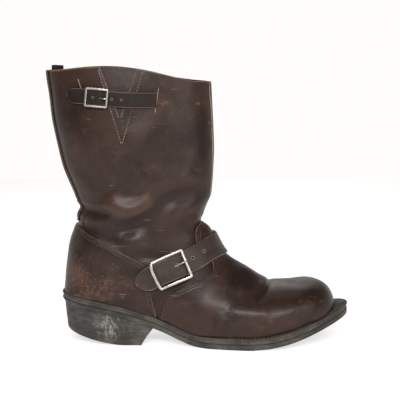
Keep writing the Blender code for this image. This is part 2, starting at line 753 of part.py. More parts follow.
def rounded_frame(centre, length, width, corner, lift):
    """The path of a buckle's frame: a rectangle with round corners, in a strap's own measures."""
    path = []
    for quarter in range(4):
        sx, sy = ((1, 1), (-1, 1), (-1, -1), (1, -1))[quarter]
        for step in range(4):
            turn = math.pi / 2 * (quarter + step / 3)
            path.append((
                centre + sx * (length / 2 - corner) + corner * math.cos(turn),
                sy * (width / 2 - corner) + corner * math.sin(turn),
                lift,
            ))
        following = ((-1, 1), (-1, -1), (1, -1), (1, 1))[quarter]
        for share in (0.33, 0.67):
            mx = sx + (following[0] - sx) * share
            my = sy + (following[1] - sy) * share
            edge_x = length / 2 if abs(mx) == 1 else length / 2 - corner
            edge_y = width / 2 if abs(my) == 1 else width / 2 - corner
            path.append((centre + mx * edge_x, my * edge_y, lift))
    return path


def cut_from_shell(name, inner, outer, outline, finish, y_range=(-REACH, REACH)):
    """An overlay: the part of a shell that lies inside an outline of the side view."""
    piece = shell(name, inner, outer, finish)
    apply_cut(piece, prism(outline, *y_range), "INTERSECT")
    return piece


def smooth_outline(rows):
    return [tuple(p) for p in smooth_line(side_view(rows), 3)]


def notch_outline(margin):
    """The V at the collar, grown by margin, in the side view."""
    left, right = (a * SOLE_LENGTH for a in NOTCH_TOP)
    tip = NOTCH_TIP * SOLE_LENGTH
    top = BOOT_HEIGHT * 1.2
    foot = BOOT_HEIGHT * NOTCH_FOOT
    open_up = (top - foot) / (BOOT_HEIGHT - foot)
    left, right = tip + (left - tip) * open_up, tip + (right - tip) * open_up
    return [(left - margin, top), (tip - margin, foot - margin), (tip + margin, foot - margin),
            (right + margin, top)]


def build_uppers(finishes):
    leather, lining = finishes["leather"], finishes["lining"]
    upper = shell("upper", -WALL, 0.0, leather)
    apply_cut(upper, prism(notch_outline(NOTCH_CLEAR), -REACH, 0), "DIFFERENCE")
    layer = (GAP, GAP + OVERLAY)
    edge = smooth_outline(VAMP_EDGE)
    ahead = SOLE_LENGTH + REACH
    cut_from_shell("vamp", *layer, [*edge, (ahead, edge[-1][1]), (ahead, edge[0][1])], leather)
    edge = smooth_outline(COUNTER_EDGE)
    cut_from_shell("counter", *layer, [*edge, (edge[0][0], edge[-1][1])], leather)
    foot = INSTEP_HEIGHT + GAP * 2
    middle = LEG_CENTRE * SOLE_LENGTH
    over = BOOT_HEIGHT + REACH
    behind = [(-REACH, foot), (middle, foot), (middle, over), (-REACH, over)]
    cut_from_shell("back_strip", *layer, behind, leather, (-STRIP_WIDTH / 2, STRIP_WIDTH / 2))
    under = -WALL - GAP
    cut_from_shell("gusset", under - GUSSET, under, notch_outline(GUSSET_LAP), lining, (-REACH, 0))
    places = [LAST.top - FACING_DEPTH, LAST.top - FACING_DEPTH / 2, LAST.top]
    facing = shell("collar_facing", under - FACING, under, lining, places)
    apply_cut(facing, prism(notch_outline(GUSSET_LAP + GAP), -REACH, 0), "DIFFERENCE")


def build_pull_strap(finishes):
    """A folded loop sewn inside the back of the collar, standing a little over its edge."""
    inner = -WALL - FACING - 3 * GAP
    count, faces, points = 7, [], []
    for v in np.linspace(*PULL_REACH, count):
        v = v if v <= 1 else v - 2
        low, high = LAST.point(LAST.top - PULL_DEPTH, v), LAST.point(LAST.top, v)
        out_low, out_high = LAST.normal(LAST.top - PULL_DEPTH, v), LAST.normal(LAST.top, v)
        rise = Vector((0, 0, PULL_RISE))
        for thick in (0, -PULL_LEATHER):
            points.append(low + out_low * (inner + thick))
            points.append(high + out_high * (inner + thick))
            points.append(high + out_high * (inner + thick) + np.array(rise))
    ring = (0, 1, 2, 5, 4, 3)
    for i in range(count - 1):
        here, there = i * 6, (i + 1) * 6
        for a, b in zip(ring, ring[1:] + ring[:1]):
            faces.append((here + a, here + b, there + b, there + a))
    faces.append(ring)
    faces.append(tuple((count - 1) * 6 + k for k in reversed(ring)))
    new_object("pull_strap", points, faces, finishes["lining"])


def buckled(prefix, strap, sizes, finishes):
    """A strap with the tab under it, its buckle's frame and the prong."""
    base = STRAP_LIFT + sizes["under"]
    buckle_at, ramp = sizes["buckle_at"], sizes["length"] / 2
    tab_end = buckle_at - sizes["length"] * 0.1
    tip = sizes["tip"]

    def lift(along):
        """The strap lies on the tab behind the buckle and drops to the boot in front of it."""
        share = min(max((along - buckle_at) / ramp, 0), 1)
        return base + (TAB + GAP) * (1 - share * share * (3 - 2 * share))

    def half_width(along):
        half = strap.width / 2
        near = min(along / tip, 1)
        return half * math.sqrt(max(1 - (1 - near) ** 2, 0.02))

    stations = [*np.linspace(0, tip, 5), *np.linspace(tip, strap.length, sizes["stations"])[1:]]
    strip(prefix + "_strap", strap, stations, half_width, lift, STRAP, finishes["strap"])
    tab = np.linspace(tip * 0.7, tab_end, 4)
    strip(prefix + "_tab", strap, tab, lambda _: strap.width * 0.4, lambda _: base, TAB,
          finishes["strap"])
    radius = sizes["wire"] / 2
    top = lift(buckle_at - ramp) + STRAP + GAP + radius
    path = rounded_frame(buckle_at, sizes["length"] - 2 * radius, sizes["width"] - 2 * radius,
                         sizes["corner"], top)
    wire(prefix + "_buckle", strap, path, radius, finishes["steel"], True)
    front = buckle_at + sizes["length"] / 2 - radius
    over = top + radius + GAP + PRONG / 2
    low = lift(front - sizes["prong"]) + STRAP + GAP + PRONG / 2
    rod = [(front - sizes["prong"], 0, low), (front - sizes["prong"] * 0.55, 0, (low + over) / 2),
           (front - radius * 1.3, 0, over), (front + radius * 0.9, 0, over)]
    wire(prefix + "_prong", strap, rod, PRONG / 2, finishes["steel"], False, sides=6)


def build_straps(finishes):
    instep = Strap(INSTEP_PATH, INSTEP_HEIGHT, INSTEP_STRAP_WIDTH)
    buckled("instep", instep, {
        "under": GAP + OVERLAY, "buckle_at": INSTEP_BUCKLE_FROM_TIP,
        "length": INSTEP_BUCKLE_LENGTH, "width": INSTEP_BUCKLE_WIDTH,
        "wire": INSTEP_BUCKLE_WIRE, "corner": INSTEP_BUCKLE_CORNER,
        "prong": INSTEP_PRONG_REACH, "tip": INSTEP_STRAP_TIP, "stations": 28,
    }, finishes)
    top = Strap(TOP_PATH, BOOT_HEIGHT, TOP_STRAP_WIDTH)
    buckled("top", top, {
        "under": 0.0, "buckle_at": TOP_BUCKLE_FROM_TIP,
        "length": TOP_BUCKLE_LENGTH, "width": TOP_BUCKLE_WIDTH,
        "wire": TOP_BUCKLE_WIRE, "corner": TOP_BUCKLE_CORNER,
        "prong": TOP_PRONG_REACH, "tip": TOP_STRAP_TIP, "stations": 12,
    }, finishes)


def main():
    for obj in list(bpy.data.objects):
        bpy.data.objects.remove(obj)
    finishes = {
        "leather": material("leather", (0.075, 0.045, 0.035), 0.45),
        "strap": material("strap leather", (0.065, 0.042, 0.034), 0.4),
        "lining": material("lining leather", (0.03, 0.018, 0.014), 0.7),
        "sole": material("sole rubber", (0.06, 0.058, 0.055), 0.75),
        "welt": material("welt leather", (0.12, 0.10, 0.08), 0.7),
        "footbed": material("footbed leather", (0.16, 0.11, 0.075), 0.8),
        "steel": material("buckle steel", (0.62, 0.60, 0.56), 0.3, 1.0),
    }
    edge = EDGE
    slab("outsole", [
        (heel_draft(edge), over_sole(0)), (heel_draft(0), over_sole(edge)),
        (0, over_sole(OUTSOLE - edge)), (edge, over_sole(OUTSOLE)),
    ], finishes["sole"])
    low = OUTSOLE + GAP
    slab("midsole", [(edge, over_sole(low)), (edge, over_sole(low + MIDSOLE))], finishes["welt"])
    low += MIDSOLE + GAP
    band("welt", [
        (0.0, low), (edge, low + WELT), (WELT_WIDTH, low + WELT), (WELT_WIDTH, low),
    ], finishes["welt"])
    low += WELT + FEATHER_GAP

    def inside(along):
        return feather_margin(along) + WALL + FOOTBED_GAP

    slab("insole", [(inside, over_sole(low)), (inside, over_sole(low + INSOLE))],
         finishes["footbed"])
    slab("heel", [
        (heel_draft(HEEL_TAPER), wear, 0, BREAST_FOOT),
        (heel_draft(HEEL_TAPER * 0.6), lambda a: (wear(a) + underside(a) - GAP) / 2, 0,
         (BREAST_FOOT + BREAST_TOP) / 2),
        (heel_draft(edge), lambda a: underside(a) - GAP, 0, BREAST_TOP),
    ], finishes["sole"], count=16)
    build_uppers(finishes)
    build_pull_strap(finishes)
    build_straps(finishes)


main()
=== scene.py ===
import math

import bpy
import numpy as np
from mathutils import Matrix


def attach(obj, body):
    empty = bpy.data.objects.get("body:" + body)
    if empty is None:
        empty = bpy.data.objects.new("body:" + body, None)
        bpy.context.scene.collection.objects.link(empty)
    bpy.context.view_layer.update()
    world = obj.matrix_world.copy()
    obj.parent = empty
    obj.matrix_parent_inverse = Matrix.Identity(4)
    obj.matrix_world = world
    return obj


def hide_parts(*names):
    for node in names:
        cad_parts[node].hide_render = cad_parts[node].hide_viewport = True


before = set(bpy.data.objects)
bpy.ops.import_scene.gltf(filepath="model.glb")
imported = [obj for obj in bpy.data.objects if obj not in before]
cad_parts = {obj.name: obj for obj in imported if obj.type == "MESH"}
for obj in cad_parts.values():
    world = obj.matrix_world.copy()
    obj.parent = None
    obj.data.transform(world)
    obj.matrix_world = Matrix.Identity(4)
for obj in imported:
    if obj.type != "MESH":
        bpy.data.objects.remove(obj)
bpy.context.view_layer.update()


# The studio: a plain pale floor under soft light, seen by a camera that stands low in front of
# the boot's outer side and looks slightly down on it.

LIGHTS = (
    # name, place, width, height, watts
    ("front_light", (0.02, -1.70, 0.95), 1.30, 0.22, 25),
    ("side_light", (1.35, -1.35, 0.55), 0.90, 0.90, 8),
    ("overhead_light", (-0.10, 0.30, 1.55), 0.90, 0.90, 1.8),
    ("back_light", (0.20, 1.30, 1.05), 1.10, 1.10, 3),
)
CAMERA_PLACE = (0.073, -1.25, 0.330)
CAMERA_GOAL = (0.073, 0.0, 0.155)
LIGHT_GOAL = (0.08, 0.0, 0.15)
FLOOR_RADIUS = 1.5
FLOOR_SIDES = 96


def placed(name, data):
    """A new object in the scene."""
    obj = bpy.data.objects.new(name, data)
    bpy.context.scene.collection.objects.link(obj)
    return obj


def aimed(name, data, place, goal):
    """A camera or a light at place, looking at goal."""
    obj = placed(name, data)
    away = np.subtract(place, goal)
    flat = math.hypot(away[0], away[1])
    obj.location = place
    obj.rotation_euler = (math.atan2(flat, away[2]), 0, math.atan2(away[0], -away[1]))
    return obj


def mesh_object(name, points, edges, faces):
    """A new object in the scene, made of plain points, edges and faces."""
    mesh = bpy.data.meshes.new(name)
    mesh.from_pydata(np.asarray(points, float).tolist(), edges, faces)
    mesh.update()
    return placed(name, mesh)


def feed(tree, socket, value):
    """Links a node's output to a socket, or sets the socket to a plain value."""
    if isinstance(value, bpy.types.NodeSocket):
        tree.links.new(value, socket)
    else:
        socket.default_value = (*value, 1) if socket.type == "RGBA" else value


def add_node(tree, kind, inputs, **settings):
    """The outputs of a new node, whose inputs are linked or set."""
    made = tree.nodes.new(kind)
    for key, value in settings.items():
        setattr(made, key, value)
    for key, value in inputs.items():
        feed(tree, made.inputs[key], value)
    return made.outputs


camera = bpy.data.cameras.new("photo_camera")
camera.lens = 103.5
camera.sensor_width = 36.0
camera.clip_end = 20
bpy.context.scene.camera = aimed("photo_camera", camera, CAMERA_PLACE, CAMERA_GOAL)

for name, place, width, height, watts in LIGHTS:
    light = bpy.data.lights.new(name, "AREA")
    light.shape = "ELLIPSE"
    light.size, light.size_y = width, height
    light.energy = watts
    light.color = (1.0, 0.955, 0.915)
    aimed(name, light, place, LIGHT_GOAL)

sky = bpy.data.worlds.new("studio")
sky.use_nodes = True
backdrop = sky.node_tree.nodes["Background"].inputs


def sky_node(kind, inputs, **settings):
    return add_node(sky.node_tree, "ShaderNode" + kind, inputs, **settings)


way = sky_node("SeparateXYZ", {0: sky_node("NewGeometry", {})["Incoming"]})
behind = sky_node("MapRange", {"Value": way["Y"], "From Min": 0.1, "From Max": -0.5})["Result"]
steep = sky_node("Math", {0: way["Z"]}, operation="ABSOLUTE")["Value"]
level = sky_node("MapRange", {"Value": steep, "From Min": 0.45, "From Max": 0.15})["Result"]
wall = sky_node("Math", {0: behind, 1: level}, operation="MULTIPLY")["Value"]
glow = sky_node("MapRange", {"Value": wall, "To Min": 0.16, "To Max": 1.0})["Result"]
feed(sky.node_tree, backdrop["Color"], (1.0, 0.985, 0.97))
feed(sky.node_tree, backdrop["Strength"], glow)
bpy.context.scene.world = sky
bpy.context.scene.view_settings.view_transform = "Standard"

floor_paint = bpy.data.materials.new("pale_floor")
floor_paint.use_nodes = True
floor_shader = floor_paint.node_tree.nodes["Principled BSDF"]
floor_shader.inputs["Base Color"].default_value = (0.86, 0.86, 0.855, 1)
floor_shader.inputs["Roughness"].default_value = 0.85
floor_shader.inputs["Emission Color"].default_value = (1.0, 1.0, 1.0, 1)
floor_shader.inputs["Emission Strength"].default_value = 0.62
turns = np.linspace(0, 2 * math.pi, FLOOR_SIDES, endpoint=False)
disc = np.column_stack([np.cos(turns), np.sin(turns), 0 * turns]) * FLOOR_RADIUS
floor = mesh_object("studio_floor", disc, [], [list(range(FLOOR_SIDES))])
floor.data.materials.append(floor_paint)


# The outsole: one sheet of dark rubber cut to the boot's outline, pitched up over the heel and
# sprung at the toe. Its side is buffed, dusty and scuffed, and a seam parts it from the heel.

SOLE_LENGTH = 0.316
BALL_WIDTH = 0.110
HEEL_WIDTH = 0.077
REST_FROM_BACK = 0.079
HEEL_PITCH = 0.0435
TOE_SPRING = 0.029
OUTSOLE = 0.0058
MIDSOLE = 0.0034
WELT = 0.0024
SKIN_GAP = 0.0003
FEATHER_GAP = 0.0005
SOLE_BUILD = OUTSOLE + MIDSOLE + WELT + 2 * SKIN_GAP + FEATHER_GAP
EDGE = 0.0007
HEEL_DRAFT = 0.0025
BREAST_FOOT = 0.088
BREAST_TOP = 0.101
SHARP_ANGLE = math.radians(50)
LAP, CUTS = 4, 12
OUTLINE = (
    # the width that they are shares of, and rows of along, lateral, medial
    (HEEL_WIDTH, (
        (0.000, 0.000, 0.000), (0.012, 0.215, 0.215), (0.045, 0.375, 0.380),
        (0.100, 0.475, 0.470), (0.190, 0.500, 0.480), (0.300, 0.495, 0.435),
    )),
    (BALL_WIDTH, (
        (0.390, 0.365, 0.300), (0.480, 0.420, 0.330), (0.570, 0.485, 0.410),
        (0.650, 0.518, 0.465), (0.730, 0.522, 0.485), (0.810, 0.480, 0.470),
        (0.880, 0.395, 0.420), (0.940, 0.265, 0.335), (0.980, 0.125, 0.225),
        (1.000, -0.055, 0.055),
    )),
)
SOLE_RISE = (
    # the height that they are shares of, and rows of along, share
    (HEEL_PITCH, (
        (0.000, 1.000), (0.095, 0.897), (0.187, 0.759), (0.275, 0.575), (0.320, 0.460),
        (0.358, 0.350), (0.411, 0.172), (0.459, 0.046), (0.500, 0.005), (0.525, 0.000),
    )),
    (TOE_SPRING, (
        (0.640, 0.000), (0.696, 0.045), (0.760, 0.159), (0.807, 0.290), (0.851, 0.448),
        (0.915, 0.697), (0.959, 0.862), (1.000, 1.000),
    )),
)


def monotone(xs, ys):
    """A smooth curve through the points that never overshoots them."""
    xs, ys = np.asarray(xs, float), np.asarray(ys, float)
    step = np.diff(xs)
    slope = np.diff(ys) / step
    tangent = np.zeros(len(xs))
    for i in range(1, len(xs) - 1):
        if slope[i - 1] * slope[i] > 0:
            before, after = 2 * step[i] + step[i - 1], step[i] + 2 * step[i - 1]
            tangent[i] = (before + after) / (before / slope[i - 1] + after / slope[i])
    tangent[0], tangent[-1] = slope[0], slope[-1]

    def curve(x):
        x = np.clip(np.asarray(x, float), xs[0], xs[-1])
        i = np.clip(np.searchsorted(xs, x) - 1, 0, len(step) - 1)
        t = (x - xs[i]) / step[i]
        return (
            ys[i] * (1 + 2 * t) * (1 - t) ** 2
            + ys[i + 1] * t * t * (3 - 2 * t)
            + tangent[i] * step[i] * t * (1 - t) ** 2
            + tangent[i + 1] * step[i] * t * t * (t - 1)
        )

    return curve


def natural(xs, ys):
    """A natural cubic spline through rows of values, for one place or an array of places."""
    xs, ys = np.asarray(xs, float), np.asarray(ys, float)
    count, step = len(xs), np.diff(xs)
    system, right = np.eye(count), np.zeros_like(ys)
    for i in range(1, count - 1):
        system[i, i - 1 : i + 2] = step[i - 1], 2 * (step[i - 1] + step[i]), step[i]
        right[i] = 6 * ((ys[i + 1] - ys[i]) / step[i] - (ys[i] - ys[i - 1]) / step[i - 1])
    bend = np.linalg.solve(system, right)

    def curve(x):
        x = np.asarray(x, float)
        i = np.clip(np.searchsorted(xs, x) - 1, 0, count - 2)
        a, b, h = (part[..., None] for part in (xs[i + 1] - x, x - xs[i], step[i]))
        return (
            bend[i] * (a**3 / h - a * h) / 6
            + bend[i + 1] * (b**3 / h - b * h) / 6
            + (ys[i] * a + ys[i + 1] * b) / h
        )

    return curve


def lengths(points):
    """How far along a line each of its points lies."""
    return np.concatenate([[0], np.cumsum(np.linalg.norm(np.diff(points, axis=0), axis=1))])


def unit(vectors):
    """The same directions with a length of 1."""
    return vectors / np.linalg.norm(vectors, axis=-1, keepdims=True)


def directions(line, closed=False):
    """Which way a line runs at each of its points."""
    if closed:
        return np.roll(line, -1, axis=0) - np.roll(line, 1, axis=0)
    return np.gradient(line, axis=0)


def moved_left(line, ahead, distance):
    """A flat line moved to the left-hand side of the way it runs."""
    ahead = unit(ahead)
    return line + np.column_stack([-ahead[:, 1], ahead[:, 0]]) * distance


def smooth_line(points, pieces):
    """An open smooth curve through points, with each span cut into that many pieces."""
    points = np.asarray(points, float)
    place = lengths(points)
    spans = [np.linspace(a, b, pieces, endpoint=False) for a, b in zip(place, place[1:])]
    return natural(place, points)(np.concatenate([*spans, place[-1:]]))


rise = [(along * SOLE_LENGTH, share * of) for of, rows in SOLE_RISE for along, share in rows]
underside = monotone(*zip(*rise))
sides = [np.multiply(row, (SOLE_LENGTH, of, of)) for of, rows in OUTLINE for row in rows]
edge_loop = [(x, -lateral) for x, lateral, _ in sides]
edge_loop += [(x, medial) for x, _, medial in sides[-2:0:-1]]
LOOP = smooth_line([*edge_loop[-LAP:], *edge_loop, *edge_loop[: LAP + 1]], CUTS)
LOOP = LOOP[LAP * CUTS : (LAP + len(edge_loop)) * CUTS]


def inset_loop(margin):
    """The outline moved inwards by margin, a number or a function of the distance along."""
    distance = margin(LOOP[:, 0]) if callable(margin) else margin
    return moved_left(LOOP, directions(LOOP, True), np.reshape(distance, (-1, 1)))


def two_sides(loop):
    """The back end and toe end of a loop, and its lateral and medial y at a distance along."""
    turned = np.roll(loop, -int(np.argmin(loop[:, 0])), axis=0)
    toe = int(np.argmax(turned[:, 0]))
    lateral, medial = turned[: toe + 1], np.concatenate([turned[toe:], turned[:1]])[::-1]

    def side(points):
        keep = np.maximum.accumulate(points[:, 0]) + np.arange(len(points)) * 1e-9
        return lambda along: np.interp(along, keep, points[:, 1])

    return turned[0, 0], lateral[-1, 0], side(lateral), side(medial)


def heel_draft(extra):
    """The margin of an edge that stands in under the lip at the back of the heel."""
    return lambda along: extra + HEEL_DRAFT * np.sqrt(np.clip(1 - along / BREAST_TOP, 0, 1))


def over_sole(extra):
    """A height this far above the sole's underside."""
    return lambda along: underside(along) + extra


def new_piece(name, points, faces, finish, node, slot, values=None, cut=None):
    """A finished mesh piece that rides on the boot and stands for a CAD node."""
    piece = mesh_object(name, points, [], faces)
    for label, numbers in (values or {}).items():
        layer = piece.data.attributes.new(label, "FLOAT", "POINT")
        layer.data.foreach_set("value", np.asarray(numbers, np.float32).ravel())
    piece.data.materials.append(finish)
    if cut:
        cut(piece)
    piece.data.shade_smooth()
    piece.data.set_sharp_from_angle(angle=SHARP_ANGLE)
    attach(piece, "root")
    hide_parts(node)


def quads(index):
    """The four-cornered faces of a grid of point numbers."""
    a, b, c, d = index[:-1, :-1], index[1:, :-1], index[1:, 1:], index[:-1, 1:]
    return np.stack([a, d, c, b], axis=-1).reshape(-1, 4).tolist()


def ladder(name, rings, finish, node, slot, places):
    """A solid of the sole's outline, lofted through rings of (margin, height) from below."""
    rows = []
    for margin, height, *span in rings:
        first, last, lateral, medial = two_sides(inset_loop(margin))
        if span:
            first, last = max(first, span[0]), span[1]
        along = first + (last - first) * places
        for side in (lateral, medial):
            rows.append(np.column_stack([along - REST_FROM_BACK, side(along), height(along)]))
    index = np.arange(len(rows) * len(places)).reshape(-1, 2, len(places))
    loops = np.hstack([index[:, 0], index[:, 1, ::-1], index[:, :1, 0]])
    faces = quads(loops) + quads(index[0].T) + quads(index[-1, ::-1].T)
    new_piece(name, np.concatenate(rows), faces, finish, node, slot)


even = np.linspace(0, 1, 181)
both_ends = (even + (1 - np.cos(math.pi * even)) / 2) / 2


class Finish:
    """A leather, rubber or metal surface, built up as shader nodes on the piece's own place."""

    def __init__(self, name):
        self.material = bpy.data.materials.new(name)
        self.material.use_nodes = True
        self.tree = self.material.node_tree
        self.place = self.node("TexCoord", {}, "Object")

    def node(self, kind, inputs, output=0, **settings):
        return add_node(self.tree, "ShaderNode" + kind, inputs, **settings)[output]

    def stretched(self, scale, turn=(0, 0, 0)):
        return self.node("Mapping", {"Vector": self.place, "Scale": scale, "Rotation": turn})

    def noise(self, scale, detail=3.0, rough=0.55, twist=0.0, place=None):
        return self.node("TexNoise", {
            "Vector": place or self.place, "Scale": scale, "Detail": detail, "Roughness": rough,
            "Distortion": twist})

    def streaks(self, scale, detail, rough=0.55, twist=0.0, turn=(0, 0, 0)):
        """Noise with a scale of its own along each of three directions."""
        return self.noise(1.0, detail, rough, twist, self.stretched(scale, turn))

    def cells(self, scale, feature="F1", place=None):
        inputs = {"Vector": place or self.place, "Scale": scale}
        return self.node("TexVoronoi", inputs, "Distance", feature=feature)

    def away(self, point):
        return self.node("VectorMath", {0: self.place, 1: point}, "Value", operation="DISTANCE")

    def times(self, first, second):
        return self.node("Math", {0: first, 1: second}, operation="MULTIPLY")

    def total(self, first, *others):
        """The sum of a value and of others, each given as (value, weight)."""
        for value, weight in others:
            first = self.node("Math", {0: value, 1: weight, 2: first}, operation="MULTIPLY_ADD")
        return first

    def between(self, value, low, high, to_low=0.0, to_high=1.0):
        """Turns low to high into to_low to to_high, softly, and stays at the ends beyond them."""
        return self.node("MapRange", {
            "Value": value, "From Min": low, "From Max": high, "To Min": to_low,
            "To Max": to_high}, clamp=True, interpolation_type="SMOOTHSTEP")

    def blend(self, share, first, second):
        return self.node(
            "Mix", {0: share, 6: first, 7: second}, 2, data_type="RGBA", clamp_factor=True)

    def value(self, label):
        return self.node("Attribute", {}, "Fac", attribute_name=label)

    def finish(self, relief, depth, strength, **sockets):
        """The material, with this relief as bump and the shader's other sockets as given."""
        bump = {"Height": relief, "Distance": depth, "Strength": strength}
        sockets["Normal"] = self.node("Bump", bump)
        shader = self.tree.nodes["Principled BSDF"]
        for key, value in sockets.items():
            feed(self.tree, shader.inputs[key.replace("_", " ")], value)
        return self.material


def rubber(name, dark, dusty, dust_low, scraped=None):
    """Black rubber gone grey with dust, pitted, and scraped pale about one place if it is given."""
    paint = Finish(name)
    fine = paint.noise(420, 3, 0.6)
    streak = paint.streaks((55, 55, 260), 4, 0.65)
    dust = paint.total(paint.noise(28, 4, 0.6), (streak, 0.7))
    colour = paint.blend(paint.between(dust, dust_low, dust_low + 0.4), dark, dusty)
    pits = paint.cells(260, place=paint.stretched((1, 1, 1.6)))
    pits = paint.between(pits, 0.0, 0.28, 1.0, 0.0)
    colour = paint.blend(paint.times(pits, 0.5), colour, (0.012, 0.011, 0.010))
    if scraped:
        marks = paint.between(paint.streaks((300, 300, 110), 5, 0.75, 0.4), 0.50, 0.60)
        near = paint.between(paint.away(scraped), 0.006, 0.021, 0.65, 0.0)
        colour = paint.blend(paint.times(marks, near), colour, (0.33, 0.32, 0.30))
    # the fine cross ribs of the tread, on the faces that look down
    facing = paint.node("SeparateXYZ", {0: paint.node("TexCoord", {}, "Normal")}, "Z")
    ribs = paint.node("TexWave", {"Vector": paint.place, "Scale": 63.0}, "Fac")
    ribs = paint.times(ribs, paint.between(facing, -0.80, -0.94))
    return paint.finish(
        paint.total(streak, (fine, 0.4), (pits, -0.6), (ribs, 2.0)), 0.0006, 0.7,
        Base_Color=colour, Roughness=paint.between(fine, 0.2, 0.8, 0.62, 0.86))


sole_rubber = rubber("sole_rubber", (0.024, 0.022, 0.020), (0.080, 0.074, 0.066), 0.74)
ladder("outsole_sheet", [
    (heel_draft(EDGE), over_sole(0)),
    (heel_draft(EDGE * 0.3), over_sole(EDGE * 0.3)),
    (heel_draft(0), over_sole(EDGE)),
    (lambda a: heel_draft(0)(a) * 0.5 + 0.00025, over_sole(OUTSOLE * 0.5)),
    (0.0, over_sole(OUTSOLE - EDGE)),
    (EDGE * 0.35, over_sole(OUTSOLE - EDGE * 0.3)),
    (EDGE, over_sole(OUTSOLE)),
], sole_rubber, "outsole", "sole_rubber", both_ends)


# The heel: a moulded rubber block nailed and glued under the outsole, with a harder lift at the
# foot. It is worn round at the back, and its sides are scraped pale.

HEEL_WEAR = 0.017
HEEL_TAPER = 0.003
HEEL_FLAT_BACK = 0.070


def wear(along):
    """The heel's worn underside: flat near the breast, rounded up towards the back."""
    worn = np.clip((HEEL_FLAT_BACK - along) / HEEL_FLAT_BACK, 0, None)
    return HEEL_WEAR * worn**1.5


def heel_ring(share, margin):
    """A ring of the heel, at a share of the way up from its worn foot to the outsole."""
    taper = HEEL_TAPER + (EDGE * 0.5 - HEEL_TAPER) * share
    last = BREAST_FOOT + (BREAST_TOP - BREAST_FOOT) * share
    height = lambda a: wear(a) + (underside(a) - SKIN_GAP - wear(a)) * share
    return heel_draft(taper + margin), height, 0, last


heel_rubber = rubber("heel_rubber", (0.028, 0.026, 0.024), (0.095, 0.088, 0.078), 0.72,
                     (-0.0255, -0.036, 0.023))
ladder("heel_block", [heel_ring(share, margin) for share, margin in (
    (0.0, 0.0007), (0.03, 0.0), (0.22, 0.0), (0.235, 0.0005), (0.25, 0.0), (0.60, -0.0002),
    (0.97, 0.0), (1.0, 0.0005),
)], heel_rubber, "heel", "heel_rubber", 1 - np.cos(np.linspace(0, math.pi / 2, 101)))


# The midsole and the welt: a thin leather layer and the strip that runs round the whole boot
# on top of it. The welt is sewn through to the sole with a row of stout thread.

WELT_WIDTH = 0.016


def sole_loop(margin, extra):
    """The outline in space, moved inwards by margin, this far above the underside."""
    loop = inset_loop(margin)
    height = underside(LOOP[:, 0]) + extra
    return np.column_stack([loop[:, 0] - REST_FROM_BACK, loop[:, 1], height])


def sole_leather(name, dark, light):
    """The cut edge of thick leather, drawn out in fibres and grimy."""
    paint = Finish(name)
    fibre = paint.streaks((90, 90, 900), 5, 0.7)
    cloud = paint.noise(45, 4, 0.6)
    colour = paint.blend(paint.between(cloud, 0.42, 0.62), light, dark)
    colour = paint.blend(paint.between(fibre, 0.4, 0.62, 0.0, 0.55), colour, (0.02, 0.017, 0.014))
    return paint.finish(
        paint.total(fibre, (paint.noise(600, 2), 1.0)), 0.0005, 0.6,
        Base_Color=colour, Roughness=paint.between(cloud, 0.3, 0.7, 0.55, 0.8))


midsole_edge = sole_leather("midsole_edge", (0.036, 0.031, 0.027), (0.085, 0.072, 0.060))
midsole_low = OUTSOLE + SKIN_GAP
ladder("midsole_layer", [(EDGE * share, over_sole(midsole_low + up)) for share, up in (
    (1.3, 0.0), (1.0, 0.0004), (0.9, MIDSOLE * 0.5), (1.0, MIDSOLE - 0.0004), (1.3, MIDSOLE),
)], midsole_edge, "midsole", "midsole_leather", both_ends)
welt_edge = sole_leather("welt_edge", (0.040, 0.034, 0.030), (0.078, 0.064, 0.052))
welt_low = midsole_low + MIDSOLE + SKIN_GAP
welt_top = welt_low + WELT
loops = [sole_loop(margin, height) for margin, height in (
    (0.0004, welt_low), (0.0, welt_low + 0.0006), (0.0001, welt_top - 0.0009),
    (0.0004, welt_top - 0.0003), (0.0011, welt_top), (0.0032, welt_top - 0.0001),
    (0.0038, welt_top - 0.0004), (0.0044, welt_top - 0.0001), (WELT_WIDTH, welt_top),
    (WELT_WIDTH, welt_low),
)]
index = np.arange(len(loops) * len(LOOP)).reshape(len(loops), -1)
faces = quads(np.pad(index, ((0, 1), (0, 1)), mode="wrap"))
new_piece("welt_strip", np.concatenate(loops), faces, welt_edge, "welt", "welt_leather")


# The footbed: a thin leather insole glued inside the boot, darkened by wear. It is seen only from
# above, through the collar.

WALL = 0.0022
INSOLE = 0.003
FOOTBED_GAP = 0.0015
FEATHER = ((0.0, 0.036), (0.2, 0.027), (0.37, 0.036), (0.6, 0.060), (0.75, 0.070), (1.0, 0.142))
feather_margin = monotone(*(np.array(FEATHER) * (SOLE_LENGTH, BALL_WIDTH)).T)
footbed_leather = sole_leather("footbed_leather", (0.060, 0.040, 0.028), (0.150, 0.105, 0.070))


def footbed_margin(along):
    return feather_margin(along) + WALL + FOOTBED_GAP


ladder("footbed", [
    (footbed_margin, over_sole(SOLE_BUILD)),
    (footbed_margin, over_sole(SOLE_BUILD + INSOLE - 0.0006)),
    (lambda a: footbed_margin(a) + 0.0006, over_sole(SOLE_BUILD + INSOLE)),
], footbed_leather, "insole", "footbed_leather", both_ends)
